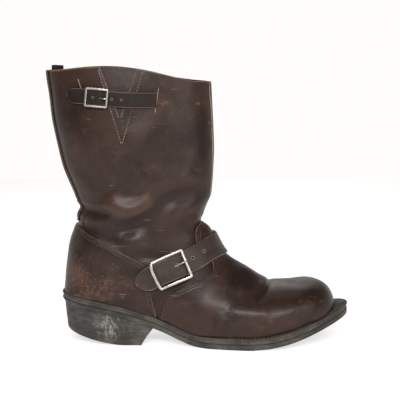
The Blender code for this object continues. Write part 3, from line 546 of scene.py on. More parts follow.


# The last: the form that the leathers are pulled over. Sections fan from the toe over the foot
# to the collar, and every panel and strap lies a set height off this form. The creases that
# wear has pressed into the leather are laid on it as soft troughs and ridges.

BOOT_HEIGHT = 0.297
INSTEP_HEIGHT = 0.133
TOE_HEIGHT = 0.063
COLLAR_DEPTH = 0.176
LEG_CENTRE = 0.2405
ANKLE_WIDTH = 0.077
LEG_WIDTH = 0.084
COLLAR_BOW = (0.0104, 0.003)
WIDEST_STEP = 0.42
BACK_SHARPNESS = 2.1
BEND_REACH = 0.007
BEND_SPREAD = 0.016
CREASE_REACH = 3.2
SWELLS = 26
SWELL_LENGTHS = (0.022, 0.06)
SWELL_HEIGHT = 0.00007
FOOT_ROWS = (
    # the height that the ridge is a share of, and rows of
    # ridge along, ridge up, low along, lateral, medial, widest, boxiness, ridge y
    (TOE_HEIGHT, (
        (0.950, None, 0.829, 0.385, 0.385, 0.08, 2.30, 0.060),
        (0.944, 0.733, 0.807, 0.412, 0.408, 0.12, 2.35, 0.060),
        (0.921, 0.905, 0.778, 0.430, 0.422, 0.20, 2.50, 0.055),
        (0.878, 1.000, 0.747, 0.450, 0.436, 0.26, 2.60, 0.050),
        (0.823, 1.000, 0.709, 0.463, 0.440, 0.30, 2.60, 0.045),
        (0.763, 0.976, 0.661, 0.466, 0.434, 0.30, 2.40, 0.040),
    )),
    (INSTEP_HEIGHT, (
        (0.715, 0.486, 0.620, 0.457, 0.416, 0.30, 2.20, 0.036),
        (0.668, 0.554, 0.570, 0.430, 0.390, 0.28, 2.00, 0.036),
        (0.620, 0.622, 0.513, 0.398, 0.356, 0.28, 1.90, 0.032),
        (0.569, 0.703, 0.453, 0.370, 0.338, 0.30, 1.85, 0.027),
        (0.532, 0.841, 0.373, 0.352, 0.332, 0.34, 1.80, 0.018),
        (0.510, 0.929, 0.285, 0.344, 0.332, 0.38, 1.80, 0.009),
        (0.493, 0.977, 0.174, 0.340, 0.334, 0.42, 1.85, 0.000),
        (0.492, 1.026, 0.079, 0.342, 0.338, 0.45, 1.90, 0.000),
    )),
)
LEG_ROWS = (
    # the width that they are shares of, and rows of
    # front, front up, back, back up, half width, widest, boxiness
    (ANKLE_WIDTH, (
        (0.915, 0.058, -0.798, None, 0.494, 0.46, 1.90),
        (0.942, 0.098, -0.798, -0.335, 0.494, 0.46, 1.90),
        (0.977, 0.140, -0.742, -0.152, 0.494, 0.47, 1.90),
        (1.006, 0.183, -0.649, 0.000, 0.500, 0.47, 1.85),
        (1.016, 0.232, -0.623, 0.091, 0.506, 0.47, 1.85),
        (1.028, 0.305, -0.657, 0.171, 0.519, 0.47, 1.85),
    )),
    (LEG_WIDTH, (
        (1.034, 0.397, -0.748, 0.286, 0.488, 0.46, 1.88),
        (1.034, 0.506, -0.834, 0.420, 0.494, 0.46, 1.90),
        (1.031, 0.629, -0.899, 0.567, 0.500, 0.45, 1.92),
        (1.023, 0.745, -0.942, 0.714, 0.488, 0.45, 1.94),
        (1.007, 0.841, -0.974, 0.853, 0.476, 0.45, 1.96),
        (0.998, 0.924, -1.000, 1.000, 0.458, 0.45, 2.00),
    )),
)

# Creases: side-view points in millimetres from the sole's back end and up from the floor, the
# rise in millimetres (a trough is negative), the width, and how much shows on the inner side
# Their lift also paints the leather's colour: painted shade in troughs, painted highlight on ridges
CREASES = (
    (((40, 119), (58, 123), (72, 128), (84.7, 135), (98.6, 145.5), (112.8, 156), (127.7, 163),
      (146, 165), (166, 160)), -3.3, 9.0, 0.8),
    (((42, 161), (60, 154), (78, 149), (94, 153), (112, 165)), 4.4, 11.0, 0.6),
    (((58, 194), (84, 190)), -0.8, 14.0, 0.6),
    (((98, 124), (112, 132), (128, 141), (146, 148), (160, 152)), 1.2, 10.0, 0.8),
    (((159, 139), (153, 131), (144, 123)), -1.8, 4.2, 0.8),
    (((66, 115), (84.5, 113), (106, 110.5), (124, 112)), 0.5, 9.0, 0.7),
    (((30, 128), (44, 121), (58, 114), (74, 106.5), (94, 99.5), (118, 101)), -1.6, 6.0, 0.7),
    (((12, 151), (23.5, 148.6), (36, 146), (50, 145), (64, 147)), -2.2, 4.2, 0.8),
    (((14, 141), (26, 138), (40, 136), (54, 137)), 1.5, 4.5, 0.8),
    (((34, 142), (27.5, 136), (27, 130), (32, 125)), -0.7, 1.8, 0.4),
    (((243, 70), (236, 67), (229, 62.5), (221, 56), (210, 47)), -1.7, 3.4, 0.9),
    (((252, 66), (240, 57), (232, 49)), 0.8, 6.0, 0.6),
    (((218, 45), (219, 39), (217, 31)), -0.18, 2.6, 0.6),
    (((174.5, 45), (178, 38), (180.5, 31)), -0.15, 2.8, 0.4),
    (((180, 42), (205, 40), (230, 41)), 1.1, 7.0, 0.4),
    (((40, 226), (70, 222), (104, 226)), 0.8, 14.0, 0.7),
    (((49, 209.5), (60, 209.6), (68, 211.4), (75.5, 214.8), (82.6, 214.0), (90, 209.5)),
     0.32, 2.2, 0.2),
    (((96, 204), (128, 212), (150, 228)), -0.9, 12.0, 0.7),
    (((100, 180), (124, 184), (146, 182)), 0.7, 10.0, 0.7),
    (((20, 196), (34, 184), (44, 168)), -0.9, 6.0, 0.8),
)


def together(*parts):
    """Numbers or arrays as arrays of one shape."""
    return np.broadcast_arrays(*(np.asarray(part, float) for part in parts))


def eased(share):
    """A soft step from 0 to 1."""
    share = np.clip(share, 0, 1)
    return share * share * (3 - 2 * share)


class Last:
    """u runs from the toe's edge over the foot to the collar, and v from -1 on the lateral edge
    or the back seam, over the ridge at 0, to 1 on the medial side. Both may be arrays."""

    def __init__(self):
        self.heel_back, _, self.lateral, self.medial = two_sides(inset_loop(feather_margin))
        sections = []
        for of, rows in FOOT_ROWS:
            for ridge, up, low, lateral, medial, widest, boxy, y in rows:
                ridge, low = ridge * SOLE_LENGTH, low * SOLE_LENGTH
                height = self.feather(ridge) if up is None else up * of
                sections.append(
                    (ridge, height, low, self.feather(low), lateral * BALL_WIDTH,
                     medial * BALL_WIDTH, widest, boxy, y * BALL_WIDTH))
        cut = len(sections)
        centre = LEG_CENTRE * SOLE_LENGTH
        for of, rows in LEG_ROWS:
            for front, up, back, back_up, half, widest, boxy in rows:
                if back_up is None:
                    back, height = self.heel_back, self.feather(self.heel_back)
                else:
                    back, height = centre + back * COLLAR_DEPTH / 2, self.leg_height(back_up)
                sections.append(
                    (centre + front * COLLAR_DEPTH / 2, self.leg_height(up), back, height,
                     half * of, half * of, widest, boxy, 0.0))
        sections = np.array(sections, float)
        self.places = (lengths(sections[:, 0:2]) + lengths(sections[:, 2:4])) / 2
        self.columns = natural(self.places, sections)
        self.foot_end = natural(self.places[: cut + 1], sections[: cut + 1, 2:4])
        self.leg_end = natural(self.places[cut:], sections[cut:, 2:4])
        self.seam, self.top = self.places[cut], self.places[-1]
        self.nets = {}

    def feather(self, along):
        return underside(along) + SOLE_BUILD

    def leg_height(self, share):
        return INSTEP_HEIGHT + share * (BOOT_HEIGHT - INSTEP_HEIGHT)

    def point(self, u, v):
        """The last's surface, with the bend between foot and leg eased round the heel."""
        u, v = together(u, v)
        near_seam = np.clip(1 - abs(u - self.seam) / BEND_SPREAD, 0, 1)
        reach = BEND_REACH * near_seam * np.clip((1 - abs(v)) / 0.10, 0, 1)
        found = self.section(u, v)
        bent = reach > 1e-5
        if bent.any():
            u, v, reach = u[bent], v[bent], reach[bent]
            found[bent] = sum(
                weight * self.section(u + reach * step, v)
                for step, weight in ((-1, 0.15), (-0.5, 0.2), (0, 0.3), (0.5, 0.2), (1, 0.15)))
        return found

    def section(self, u, v):
        """The last's surface before the bend is eased."""
        ridge_x, ridge_z, _, _, lateral, medial, widest, boxy, ridge_y = np.moveaxis(
            self.columns(u), -1, 0)
        is_open = u < self.seam - 1e-9
        low_x, low_z = np.moveaxis(
            np.where(is_open[..., None], self.foot_end(u), self.leg_end(u)), -1, 0)
        low_x = np.where(is_open, np.maximum(low_x, self.heel_back), low_x)
        low_z = np.where(is_open, self.feather(low_x), low_z)
        sides = np.where(is_open, self.lateral(low_x), 0), np.where(is_open, self.medial(low_x), 0)
        low_y, foot = (sides[0] + sides[1]) / 2, (sides[1] - sides[0]) / 2
        wide = np.maximum(np.where(v < 0, lateral, medial), foot)
        rise = 1 - abs(v)
        low = rise < WIDEST_STEP
        turn = np.where(low, 1 - rise / WIDEST_STEP, (rise - WIDEST_STEP) / (1 - WIDEST_STEP))
        turn = turn * math.pi / 2
        sine, cosine = np.clip(np.sin(turn), 0, 1), np.clip(np.cos(turn), 0, 1)
        power = 2 / BACK_SHARPNESS
        above = widest + (1 - widest) * sine ** (2 / boxy)
        share = np.where(low, widest * (1 - sine**power), above)
        out = np.where(low, foot + (wide - foot) * cosine**power, wide * cosine ** (2 / boxy))
        start = self.places[-4]
        grown = np.clip((u - start) / (self.top - start), 0, 1) ** 2
        bow = np.where(v < 0, *COLLAR_BOW) * grown
        bow = bow * np.sin(math.pi * np.clip(share / 0.90, 0, 1)) ** 1.3
        return np.stack(
            [low_x + (ridge_x - low_x) * share - REST_FROM_BACK,
             low_y + (ridge_y - low_y) * share + np.where(v < 0, -1, 1) * out,
             low_z + (ridge_z - low_z) * share + bow], axis=-1)

    def normal(self, u, v):
        """Which way is off the last at these places."""
        u, v = together(u, v)
        du, dv = 0.0008, 0.012
        low, high = np.maximum(u - du, 0), np.minimum(u + du, self.top)
        split = (low < self.seam) & (self.seam <= high)
        leg = u >= self.seam
        low = np.where(split & leg, self.seam, low)
        high = np.where(split & ~leg, self.seam - 1e-7, high)
        along = self.point(high, v) - self.point(low, v)
        back = leg & (abs(v) > 1 - dv)
        first = np.where(back, 1 - dv, np.maximum(v - dv, -1))
        second = np.where(back, -1 + dv, np.minimum(v + dv, 1))
        out = np.cross(self.point(u, second) - self.point(u, first), along)
        out[..., 2] = np.where(~leg & (abs(v) > 1 - 1e-6), 0, out[..., 2])
        return out / np.maximum(np.linalg.norm(out, axis=-1), 1e-12)[..., None]

    def crease(self, points, v):
        """How far the creases lift the leather off the last at these points."""
        outer = np.interp(v, (-1, -0.86, -0.14, 0.14, 0.86, 1), (0.5, 1, 1, 0, 0, 0.5))
        flat = (points[..., [0, 2]] + (REST_FROM_BACK, 0)) * 1000
        total = np.zeros(v.shape)
        for path, rise, width, inner in CREASES:
            path = smooth_line(path, 4)
            reach = CREASE_REACH * width
            low, high = path.min(axis=0) - reach, path.max(axis=0) + reach
            near = ((flat > low) & (flat < high)).all(axis=-1)
            spots = flat[near]
            best, where = np.full(len(spots), 1e9), np.zeros(len(spots))
            length = lengths(path)
            for k, (a, b) in enumerate(zip(path, path[1:])):
                share = np.clip(((spots - a) @ (b - a)) / ((b - a) @ (b - a)), 0, 1)
                gap = np.linalg.norm(spots - a - share[:, None] * (b - a), axis=-1)
                here = length[k] + share * (length[k + 1] - length[k])
                where = np.where(gap < best, here, where)
                best = np.minimum(gap, best)
            fade = eased(np.minimum(where, length[-1] - where) / (0.25 * length[-1]))
            shoulder = np.exp(-(((best - 1.9 * width) / width) ** 2))
            profile = np.exp(-((best / width) ** 2)) - 0.2 * shoulder
            total[near] += rise / 1000 * profile * fade * (outer + inner * (1 - outer))[near]
        return total

    def worn(self, u, v, lift):
        """Points of the worn leather, this far off the last, never lower than the welt's top."""
        u, v = together(u, v)
        base = self.point(u, v)
        lift = lift + self.crease(base, v) + self.swell(base)
        moved = base + self.normal(u, v) * lift[..., None]
        floor = self.feather(moved[..., 0] + REST_FROM_BACK)
        moved[..., 2] = np.maximum(moved[..., 2], floor)
        on_edge = ((u < self.seam - 1e-6) & (abs(v) > 1 - 1e-9)) | (u < 1e-9)
        moved[..., 2] = np.where(on_edge, floor, moved[..., 2])
        return moved

    def swell(self, base):
        """Slow swells and hollows of real leather, the same at every run."""
        draw = np.random.default_rng(11)
        total = np.zeros(base.shape[:-1])
        for _ in range(SWELLS):
            wave = draw.normal(size=3)
            wave *= 2 * math.pi / (draw.uniform(*SWELL_LENGTHS) * np.linalg.norm(wave))
            total += np.sin(base @ wave + draw.uniform(0, 2 * math.pi))
        return total * SWELL_HEIGHT

    def find(self, along, up, side):
        """The (u, v) that show at points of the side view. The side is -1 for lateral, 0 for
        the ridge or 1 for medial."""
        goal = np.stack([np.asarray(along) - REST_FROM_BACK, np.asarray(up)], axis=-1)
        if side not in self.nets:
            us = np.linspace(0, self.top, 120)
            vs = side * np.arange(1, 24) / 24 if side else np.zeros(1)
            net = [part.ravel() for part in np.meshgrid(us, vs, indexing="ij")]
            self.nets[side] = (*net, self.point(*net)[:, [0, 2]])
        grid_u, grid_v, shown = self.nets[side]
        best = np.argmin(np.linalg.norm(shown - goal[..., None, :], axis=-1), axis=-1)
        u, v = grid_u[best], grid_v[best]
        for _ in range(10 if side else 0):
            here = self.point(u, v)[..., [0, 2]]
            du = np.moveaxis((self.point(u + 1e-4, v)[..., [0, 2]] - here) / 1e-4, -1, 0)
            dv = np.moveaxis((self.point(u, v + 1e-3)[..., [0, 2]] - here) / 1e-3, -1, 0)
            miss = np.moveaxis(goal - here, -1, 0)
            area = du[0] * dv[1] - du[1] * dv[0]
            area = np.where(abs(area) < 1e-6, 1e-6, area)
            step_u = (miss[0] * dv[1] - miss[1] * dv[0]) / area
            step_v = (du[0] * miss[1] - du[1] * miss[0]) / area
            u = np.clip(u + np.clip(step_u, -0.01, 0.01), 0, self.top)
            v = np.clip(v + np.clip(step_v, -0.1, 0.1), -0.98, 0.98)
        return u, v


LAST = Last()


# The leg and foot: one hollow piece of oiled brown leather, about 2.2 mm, closed by a seam up the
# back. Its collar is cut raw, and a V is slit into the outer side for the gusset.

OVERLAY = 0.0018
NOTCH_TOP = (0.155, 0.266)
NOTCH_TIP = 0.214
NOTCH_FOOT = 0.835
NOTCH_CLEAR = 0.0004
CUT_LEATHER = (0.250, 0.180, 0.140)
WELD, WELD_SHIFT = 4e-6, 1.3e-6
FULL_FOLD = 0.0022
LEG_COLUMNS = (56, 124)


def grained(name, dark, middle, light, gloss=0.37, grain=1.0, shine=0.30, coat=0.0,
            scuff=(0.118, 0.058, 0.042), holes=()):
    """Oiled, worn leather: cloudy brown, with painted highlight on its crease ridges and painted
    shade in its crease troughs, scuffed red, tan where it is cut.
    """
    hide = Finish(name)
    fold, rub, raw = hide.value("fold"), hide.value("rub"), hide.value("raw")
    cloud = hide.noise(20, 5, 0.6, 0.6)
    patch = hide.noise(58, 4, 0.65)
    # painted highlight: crease ridges are painted paler, mixed with random pale patches
    ridge = hide.total(hide.between(fold, 0.1, 1.6, 0.0, 0.55),
                       (hide.between(patch, 0.52, 0.78, 0.0, 0.4), 1.0))
    flecks = hide.total(hide.noise(230, 6, 0.78, 0.9), (rub, 0.20))
    worn = hide.times(hide.between(flecks, 0.63, 0.74), hide.between(rub, 0.02, 0.35, 0.0, 0.75))
    rubbed_through = hide.between(rub, 0.25, 0.9)
    crackle = hide.between(hide.cells(430, "DISTANCE_TO_EDGE"), 0.0, 0.10, 0.7, 0.0)
    chips = hide.between(hide.noise(470, 4, 0.7, 1.5), 0.60, 0.66, 0.0, 0.75)
    scratch = hide.streaks((26, 26, 330), 2, 0.5, 0.4, (0.3, 0.5, 0.2))
    ticks = hide.streaks((330, 330, 30), 2, 0.5, 0.2, (0.25, 0.4, 0.0))
    layers = [
        (hide.between(cloud, 0.38, 0.64), middle),
        (ridge, light),
        # painted shade: crease troughs and stitch grooves are painted darker
        (hide.between(fold, -1.0, -0.1, 0.75, 0.0), dark),
        (worn, scuff),
        (hide.between(rub, 0.2, 1.2, 0.0, 0.35), scuff),
        (hide.times(crackle, rubbed_through), dark),
        (hide.times(chips, rubbed_through), CUT_LEATHER),
        (hide.between(scratch, 0.715, 0.76, 0.0, 0.4), CUT_LEATHER),
        (hide.between(ticks, 0.74, 0.78, 0.0, 0.3), CUT_LEATHER),
        (hide.times(raw, hide.between(patch, 0.36, 0.6, 0.45, 0.95)), CUT_LEATHER),
    ]
    for centre, radius in holes:
        round_hole = hide.between(hide.away(centre), radius * 1.2, radius * 1.9, 0.75, 0.0)
        layers.append((round_hole, CUT_LEATHER))
    colour = dark
    for share, above in layers:
        colour = hide.blend(share, colour, above)
    pebble = hide.cells(1150 / grain, "SMOOTH_F1")
    relief = hide.total(
        hide.times(pebble, 0.5), (hide.noise(2100, 3, 0.6), 0.25),
        (hide.noise(140, 5, 0.7, 1.2), 1.5), (worn, -0.5))
    rough = hide.between(hide.total(cloud, (patch, 0.5)), 0.5, 1.0, gloss - 0.06, gloss + 0.12)
    return hide.finish(
        relief, 0.0004, 0.5, Base_Color=colour,
        Roughness=hide.total(rough, (worn, 0.22), (raw, 0.22)), Specular_IOR_Level=shine,
        Coat_Weight=coat, Coat_Roughness=0.26)


def thick(name, sheets, finish, node, slot, cut=None):
    """A closed shell of one or more (outer, inner, values) grids, joined where they meet."""
    outer, inner = (np.concatenate([sheet[k].reshape(-1, 3) for sheet in sheets]) for k in (0, 1))
    spots = np.round((outer + WELD_SHIFT) / WELD).astype(np.int64)
    _, first, same = np.unique(spots, axis=0, return_index=True, return_inverse=True)
    same, start, faces = same.ravel(), 0, []
    for sheet in sheets:
        rows, columns = sheet[0].shape[:2]
        index = same[start : start + rows * columns].reshape(rows, columns)
        start += rows * columns
        for cell in quads(index):
            corners = [k for n, k in enumerate(cell) if k != cell[n - 1]]
            if len(set(corners)) == len(corners) > 2:
                faces.append(tuple(corners))
    count = len(first)
    edges = {(p, q) for face in faces for p, q in zip(face, face[1:] + face[:1])}
    rim = [(q, p, count + p, count + q) for p, q in edges if (q, p) not in edges]
    faces += [tuple(count + k for k in face[::-1]) for face in faces] + rim
    values = {}
    for label in ("fold", "rub", "raw"):
        numbers = [
            np.broadcast_to(sheet[2].get(label, 0.0), sheet[0].shape[:2]).ravel()
            for sheet in sheets]
        values[label] = np.tile(np.concatenate(numbers)[first], 2)
    points = np.concatenate([outer[first], inner[first]])
    new_piece(name, points, faces, finish, node, slot, values, cut)


def fold_value(points, v):
    """How far creases lift the leather here: below 0 in a trough and above 0 on a ridge. The
    leather's colour uses it as painted shade in troughs and painted highlight on ridges.
    """
    return np.clip(LAST.crease(points, v) / FULL_FOLD, -1.5, 1.5)


leather = grained("boot_leather", (0.0175, 0.0087, 0.0064), (0.035, 0.0172, 0.0122),
                  (0.074, 0.0385, 0.0268), 0.36, 1.0, 0.20, 0.13)


def rubbed(points, spots):
    """How much wear shows at these points, from spots as in LEG_WEAR."""
    along, up = (points[..., 0] + REST_FROM_BACK) * 1000, points[..., 2] * 1000
    total = np.zeros(along.shape)
    for x, z, wide, high, strength in spots:
        total += strength * np.exp(-(((along - x) / wide) ** 2) - ((up - z) / high) ** 2)
    return total


def bisected(low, high, past):
    """Where past(middle) turns true between low and high, case by case."""
    for _ in range(40):
        middle = (low + high) / 2
        beyond = past(middle)
        low, high = np.where(beyond, low, middle), np.where(beyond, middle, high)
    return (low + high) / 2


def notch_v(u, side, margin):
    """The lateral v at which section u meets one edge of the V, grown by margin."""
    tip, foot = NOTCH_TIP * SOLE_LENGTH, BOOT_HEIGHT * NOTCH_FOOT

    def past(v):
        at = LAST.point(u, v)
        share = (at[..., 2] - foot) / (BOOT_HEIGHT - foot)
        edge = tip + (NOTCH_TOP[side] * SOLE_LENGTH - tip) * np.maximum(share, 0)
        edge = edge + (-margin, margin)[side] * (at[..., 2] > foot - margin)
        return at[..., 0] + REST_FROM_BACK > edge

    return bisected(np.full(np.shape(u), -0.95), np.full(np.shape(u), -0.05), past)


RIM_STEPS = np.array([0.0, 0.00025, 0.0006, 0.0011, 0.0018])
RIM_LIFT = np.array([0.55, 0.80, 0.94, 1.0, 1.0])
RIM_RAW = np.array([0.75, 0.5, 0.1, 0.0, 0.0])
COLLAR_RAW = (0.9, 0.9, 0.7, 0.2, 0.0)


def near_edge(first, last, count, at_first=False, at_last=True, scale=1.0):
    """Places from first to last, with close rows where a raw edge is rounded off."""
    close = RIM_STEPS * scale
    low = first + close if at_first else np.array([first])
    high = last - close[::-1] if at_last else np.array([last])
    return np.concatenate([low, np.linspace(low[-1], high[0], count)[1:-1], high])


def rim_share(count, table, plain=0.0, at_first=False, at_last=True):
    """The rim's table laid along the close rows of near_edge, and plain between them."""
    share = np.full(count, float(plain))
    if at_first:
        share[:5] = table
    if at_last:
        share[-5:] = table[::-1]
    return share


def leg_sheets(rows, margin, split):
    """(u, v, raw, lift) grids behind and before the V, which meet below its tip."""
    tip_v = float(notch_v(np.array(LAST.seam + 0.1), 0, 0.0))
    is_split = (rows > split)[:, None]
    for side, count in enumerate(LEG_COLUMNS):
        ends = (side == 1, side == 0)
        edge = np.where(rows > split, notch_v(rows, side, margin), tip_v)
        grid = np.array([
            near_edge(*((v, 1) if side else (-1, v)), count, *ends, 8.0) for v in edge])
        raw = rim_share(grid.shape[1], RIM_RAW, 0.0, *ends) * is_split
        lift = 1 - (1 - rim_share(grid.shape[1], RIM_LIFT, 1.0, *ends)) * is_split
        yield rows[:, None], grid, raw, lift


LEG_WEAR = (
    # along, up, reach along, reach up, strength, in millimetres from the sole's back end
    (30, 235, 7, 34, 0.30), (146, 270, 10, 14, 0.45), (20, 288, 24, 7, 0.30),
    (66, 212, 30, 3, 0.45), (84, 182, 26, 3, 0.25), (150, 190, 9, 14, 0.40),
    (108, 266, 8, 5, 0.55), (90, 115, 28, 4, 0.35), (120, 130, 20, 5, 0.35),
    (46, 132, 26, 8, 0.35), (150, 262, 2.2, 1.6, 1.6), (115, 263, 6, 3.5, 0.9),
)
tip_up = BOOT_HEIGHT * NOTCH_FOOT - NOTCH_CLEAR
leg_us = np.linspace(LAST.seam, LAST.top, 400)
above_tip = LAST.point(leg_us, notch_v(leg_us, 0, 0.0))[:, 2] > tip_up
split_u = float(leg_us[np.argmax(above_tip)])
rows = np.concatenate([
    np.linspace(0, 0.135, 24)[:-1], np.linspace(0.135, LAST.seam, 66, endpoint=False),
    np.linspace(LAST.seam, split_u, 74), near_edge(split_u + 0.0004, LAST.top, 42)])
collar_raw = rim_share(len(rows), COLLAR_RAW)[:, None]
collar_lift = rim_share(len(rows), RIM_LIFT, 1.0)[:, None]
sheets = []
for u, v, raw, lift in leg_sheets(rows, NOTCH_CLEAR, split_u):
    half = WALL / 2 * np.minimum(lift, collar_lift)
    base = LAST.point(u, v)
    sheets.append((LAST.worn(u, v, half - WALL / 2), LAST.worn(u, v, -half - WALL / 2), {
        "fold": fold_value(base, v), "raw": np.maximum(raw, collar_raw),
        "rub": rubbed(base, LEG_WEAR)}))
thick("leg_and_foot", sheets, leather, "upper", "leather")


# The vamp and the counter: one-piece overlays of the same leather. The vamp covers toe and
# instep and runs up the front as a tongue; the counter cups the heel. Their edges are cut raw.

VAMP_EDGE = (
    (0.340, -0.150), (0.342, 0.100), (0.345, 0.250), (0.358, 0.345), (0.386, 0.440),
    (0.421, 0.485), (0.453, 0.520), (0.481, 0.542), (0.507, 0.568), (0.524, 0.610),
    (0.525, 0.655), (0.514, 0.700), (0.491, 0.752), (0.473, 0.812), (0.465, 0.872),
    (0.468, 0.932), (0.484, 0.978), (0.510, 1.010), (0.560, 1.060),
)
COUNTER_EDGE = (
    (-0.100, 1.000), (0.000, 1.000), (0.043, 0.985), (0.088, 0.930), (0.141, 0.868),
    (0.190, 0.812), (0.240, 0.742), (0.280, 0.690), (0.302, 0.650), (0.311, 0.590),
    (0.311, 0.520), (0.313, 0.440), (0.320, 0.360), (0.331, 0.255), (0.336, 0.100),
    (0.336, -0.150),
)
PANEL_STEPS = (*RIM_STEPS, 0.0024, 0.0030, 0.0040, 0.0046, 0.0052, 0.0066)
SEWN = (0.0024, 0.0046)
PANEL_LIFT = np.array([*RIM_LIFT, 0.82, 1.0, 1.0, 0.82, 1.0, 1.0])
PANEL_RAW = np.array([*RIM_RAW, 0, 0, 0, 0, 0, 0])
# painted shade: the rows on the two stitch lines are painted darker, as the shade in their grooves
PANEL_GROOVE_SHADE = np.array([0, 0, 0, 0, 0, -0.9, -0.1, -0.1, -0.9, 0, 0])


def panel_outline(rows, inset):
    """A side-view edge moved inset to its left-hand side, in metres."""
    line = smooth_line(np.multiply(rows, (SOLE_LENGTH, INSTEP_HEIGHT)), 5)
    return moved_left(line, directions(line), inset)


def traced(line, side, count, first_v, last_v):
    """Evenly spaced (u, v) places along a side-view line on one side of the last."""
    hits = np.column_stack(LAST.find(*line.T, side))
    miss = LAST.point(*hits.T)[:, [0, 2]] - line + (REST_FROM_BACK, 0)
    away = abs(hits[:, 1])
    hits = hits[(np.linalg.norm(miss, axis=1) < 0.0004) & (away > 0.02) & (away < 0.975)]
    first_u = 2 * hits[0, 0] - hits[1, 0] if abs(first_v) < 1 else hits[0, 0]
    hits = np.vstack([(first_u, first_v), hits, (hits[-1, 0], last_v)])
    place = lengths(LAST.point(*hits.T))
    return natural(place, hits)(np.linspace(0, place[-1], count))


def vamp_line(inset, count):
    """The vamp's edge, from the lateral feather edge over the ridge to the medial one."""
    half = traced(panel_outline(VAMP_EDGE, -inset), -1, count, -1.0, 0.0)
    half[-1, 0] = half[-3:-1, 0].mean()
    return np.vstack([half, (half * (1, -1))[-2::-1]])


def counter_line(inset, side, count):
    """The counter's edge on one side, from the feather edge up its front and back to the seam."""
    return traced(panel_outline(COUNTER_EDGE[::-1], inset), side, count, side, side)


def panel_values(body_rows):
    """The raw, lift and painted shading values of a panel whose last rows follow its edge, as
    columns. The painted shading is painted shade in the stitch grooves.
    """
    return (np.concatenate([np.full(body_rows, plain), table[::-1]])[:, None]
            for plain, table in ((0.0, PANEL_RAW), (1.0, PANEL_LIFT), (0.0, PANEL_GROOVE_SHADE)))


def overlay_sheet(u, v, lift, raw, spots, fold=0.0):
    """The outer and inner points of an overlay on the last, and its values."""
    base = LAST.point(u, v)
    top = SKIN_GAP + OVERLAY * (0.5 + 0.5 * lift)
    foot = SKIN_GAP + OVERLAY * (0.5 - 0.5 * lift) * 0.6
    return LAST.worn(u, v, top), LAST.worn(u, v, foot), {
        "fold": fold_value(base, v) + fold, "raw": raw, "rub": rubbed(base, spots)}


VAMP_WEAR = (
    # along, up, reach along, reach up, strength
    (262, 52, 20, 9, 0.45), (240, 34, 26, 6, 0.32), (150, 62, 14, 12, 0.35),
    (205, 86, 26, 3, 0.40), (286, 50, 9, 9, 0.35), (178, 28, 34, 5, 0.35),
    (246, 66, 30, 3, 0.30), (132, 48, 12, 9, 0.40), (226, 34, 4, 8, 0.45),
)
COUNTER_WEAR = (
    (20, 74, 13, 20, 1.25), (8, 108, 10, 20, 0.60), (46, 68, 18, 14, 0.70),
    (76, 68, 24, 12, 0.50), (50, 54, 40, 5, 0.45), (60, 88, 14, 8, 0.45),
    (26, 112, 12, 6, 0.35),
)
VAMP_ROWS, COUNTER_ROWS = 128, 52
rims = np.array([vamp_line(step, 121) for step in PANEL_STEPS[::-1]])
start_v = np.linspace(-1, 1, rims.shape[1])
shares = np.linspace(0, 1, VAMP_ROWS, endpoint=False)[:, None]
grid_u = np.vstack([shares * rims[0, :, 0], rims[..., 0]])
grid_v = np.vstack([start_v + (rims[0, :, 1] - start_v) * shares**1.5, rims[..., 1]])
raw, lift, fold = panel_values(VAMP_ROWS)
raw = raw * np.interp(LAST.point(grid_u, grid_v)[..., 2], (0.06, 0.10), (0.35, 1.0))
sheet = overlay_sheet(grid_u, grid_v, lift, raw, VAMP_WEAR, fold)
thick("vamp_panel", [sheet], leather, "vamp", "leather")

sheets = []
raw, lift, fold = panel_values(COUNTER_ROWS)
shares = np.linspace(0, 1, COUNTER_ROWS, endpoint=False)[:, None]
for side in (-1, 1):
    rims = np.array([counter_line(step, side, 150) for step in PANEL_STEPS[::-1]])
    low_u = np.linspace(rims[0, 0, 0], rims[0, -1, 0], rims.shape[1])
    grid_u = np.vstack([low_u + (rims[0, :, 0] - low_u) * shares, rims[..., 0]])
    grid_v = np.vstack([side + (rims[0, :, 1] - side) * shares, rims[..., 1]])
    if side < 0:
        grid_u, grid_v = grid_u[:, ::-1], grid_v[:, ::-1]
    sheets.append(overlay_sheet(grid_u, grid_v, lift, raw, COUNTER_WEAR, fold))
thick("counter_panel", sheets, leather, "counter", "leather")


# The back strip: a narrow strap of leather sewn over the back seam, from the counter up to the
# collar, with both long edges cut raw.

STRIP_WIDTH = 0.018


def strip_v(u, half):
    """How far from the back seam, in v, section u is this wide."""
    return bisected(np.zeros(np.shape(u)), np.full(np.shape(u), 0.4),
                    lambda v: abs(LAST.point(u, v - 1)[..., 1]) > half)


strip_us = near_edge(0.2835, LAST.top, 150)
outs = np.concatenate([STRIP_WIDTH / 2 - RIM_STEPS, [0.0055, 0.0037, 0.0019]])
halves = np.array([strip_v(strip_us, out) for out in outs]).T
grid_v = np.hstack([1 - halves, np.ones((len(strip_us), 1)), (halves - 1)[:, ::-1] + 2])
grid_v = np.where(grid_v > 1, grid_v - 2, grid_v)
across_raw = rim_share(grid_v.shape[1], RIM_RAW, 0.0, True) * 0.3
across_lift = rim_share(grid_v.shape[1], RIM_LIFT, 1.0, True)
top_raw = rim_share(len(strip_us), RIM_RAW)[:, None]
top_lift = rim_share(len(strip_us), RIM_LIFT, 1.0)[:, None]
sheet = overlay_sheet(strip_us[:, None], grid_v, np.minimum(across_lift, top_lift),
                      np.maximum(across_raw, top_raw), LEG_WEAR)
thick("back_strip_leather", [sheet], leather, "back_strip", "leather")


# The gusset, the collar facing and the pull strap: thin lining leathers sewn behind the V, round
# the inside of the collar, and folded into a loop at the back to pull the boot on by.

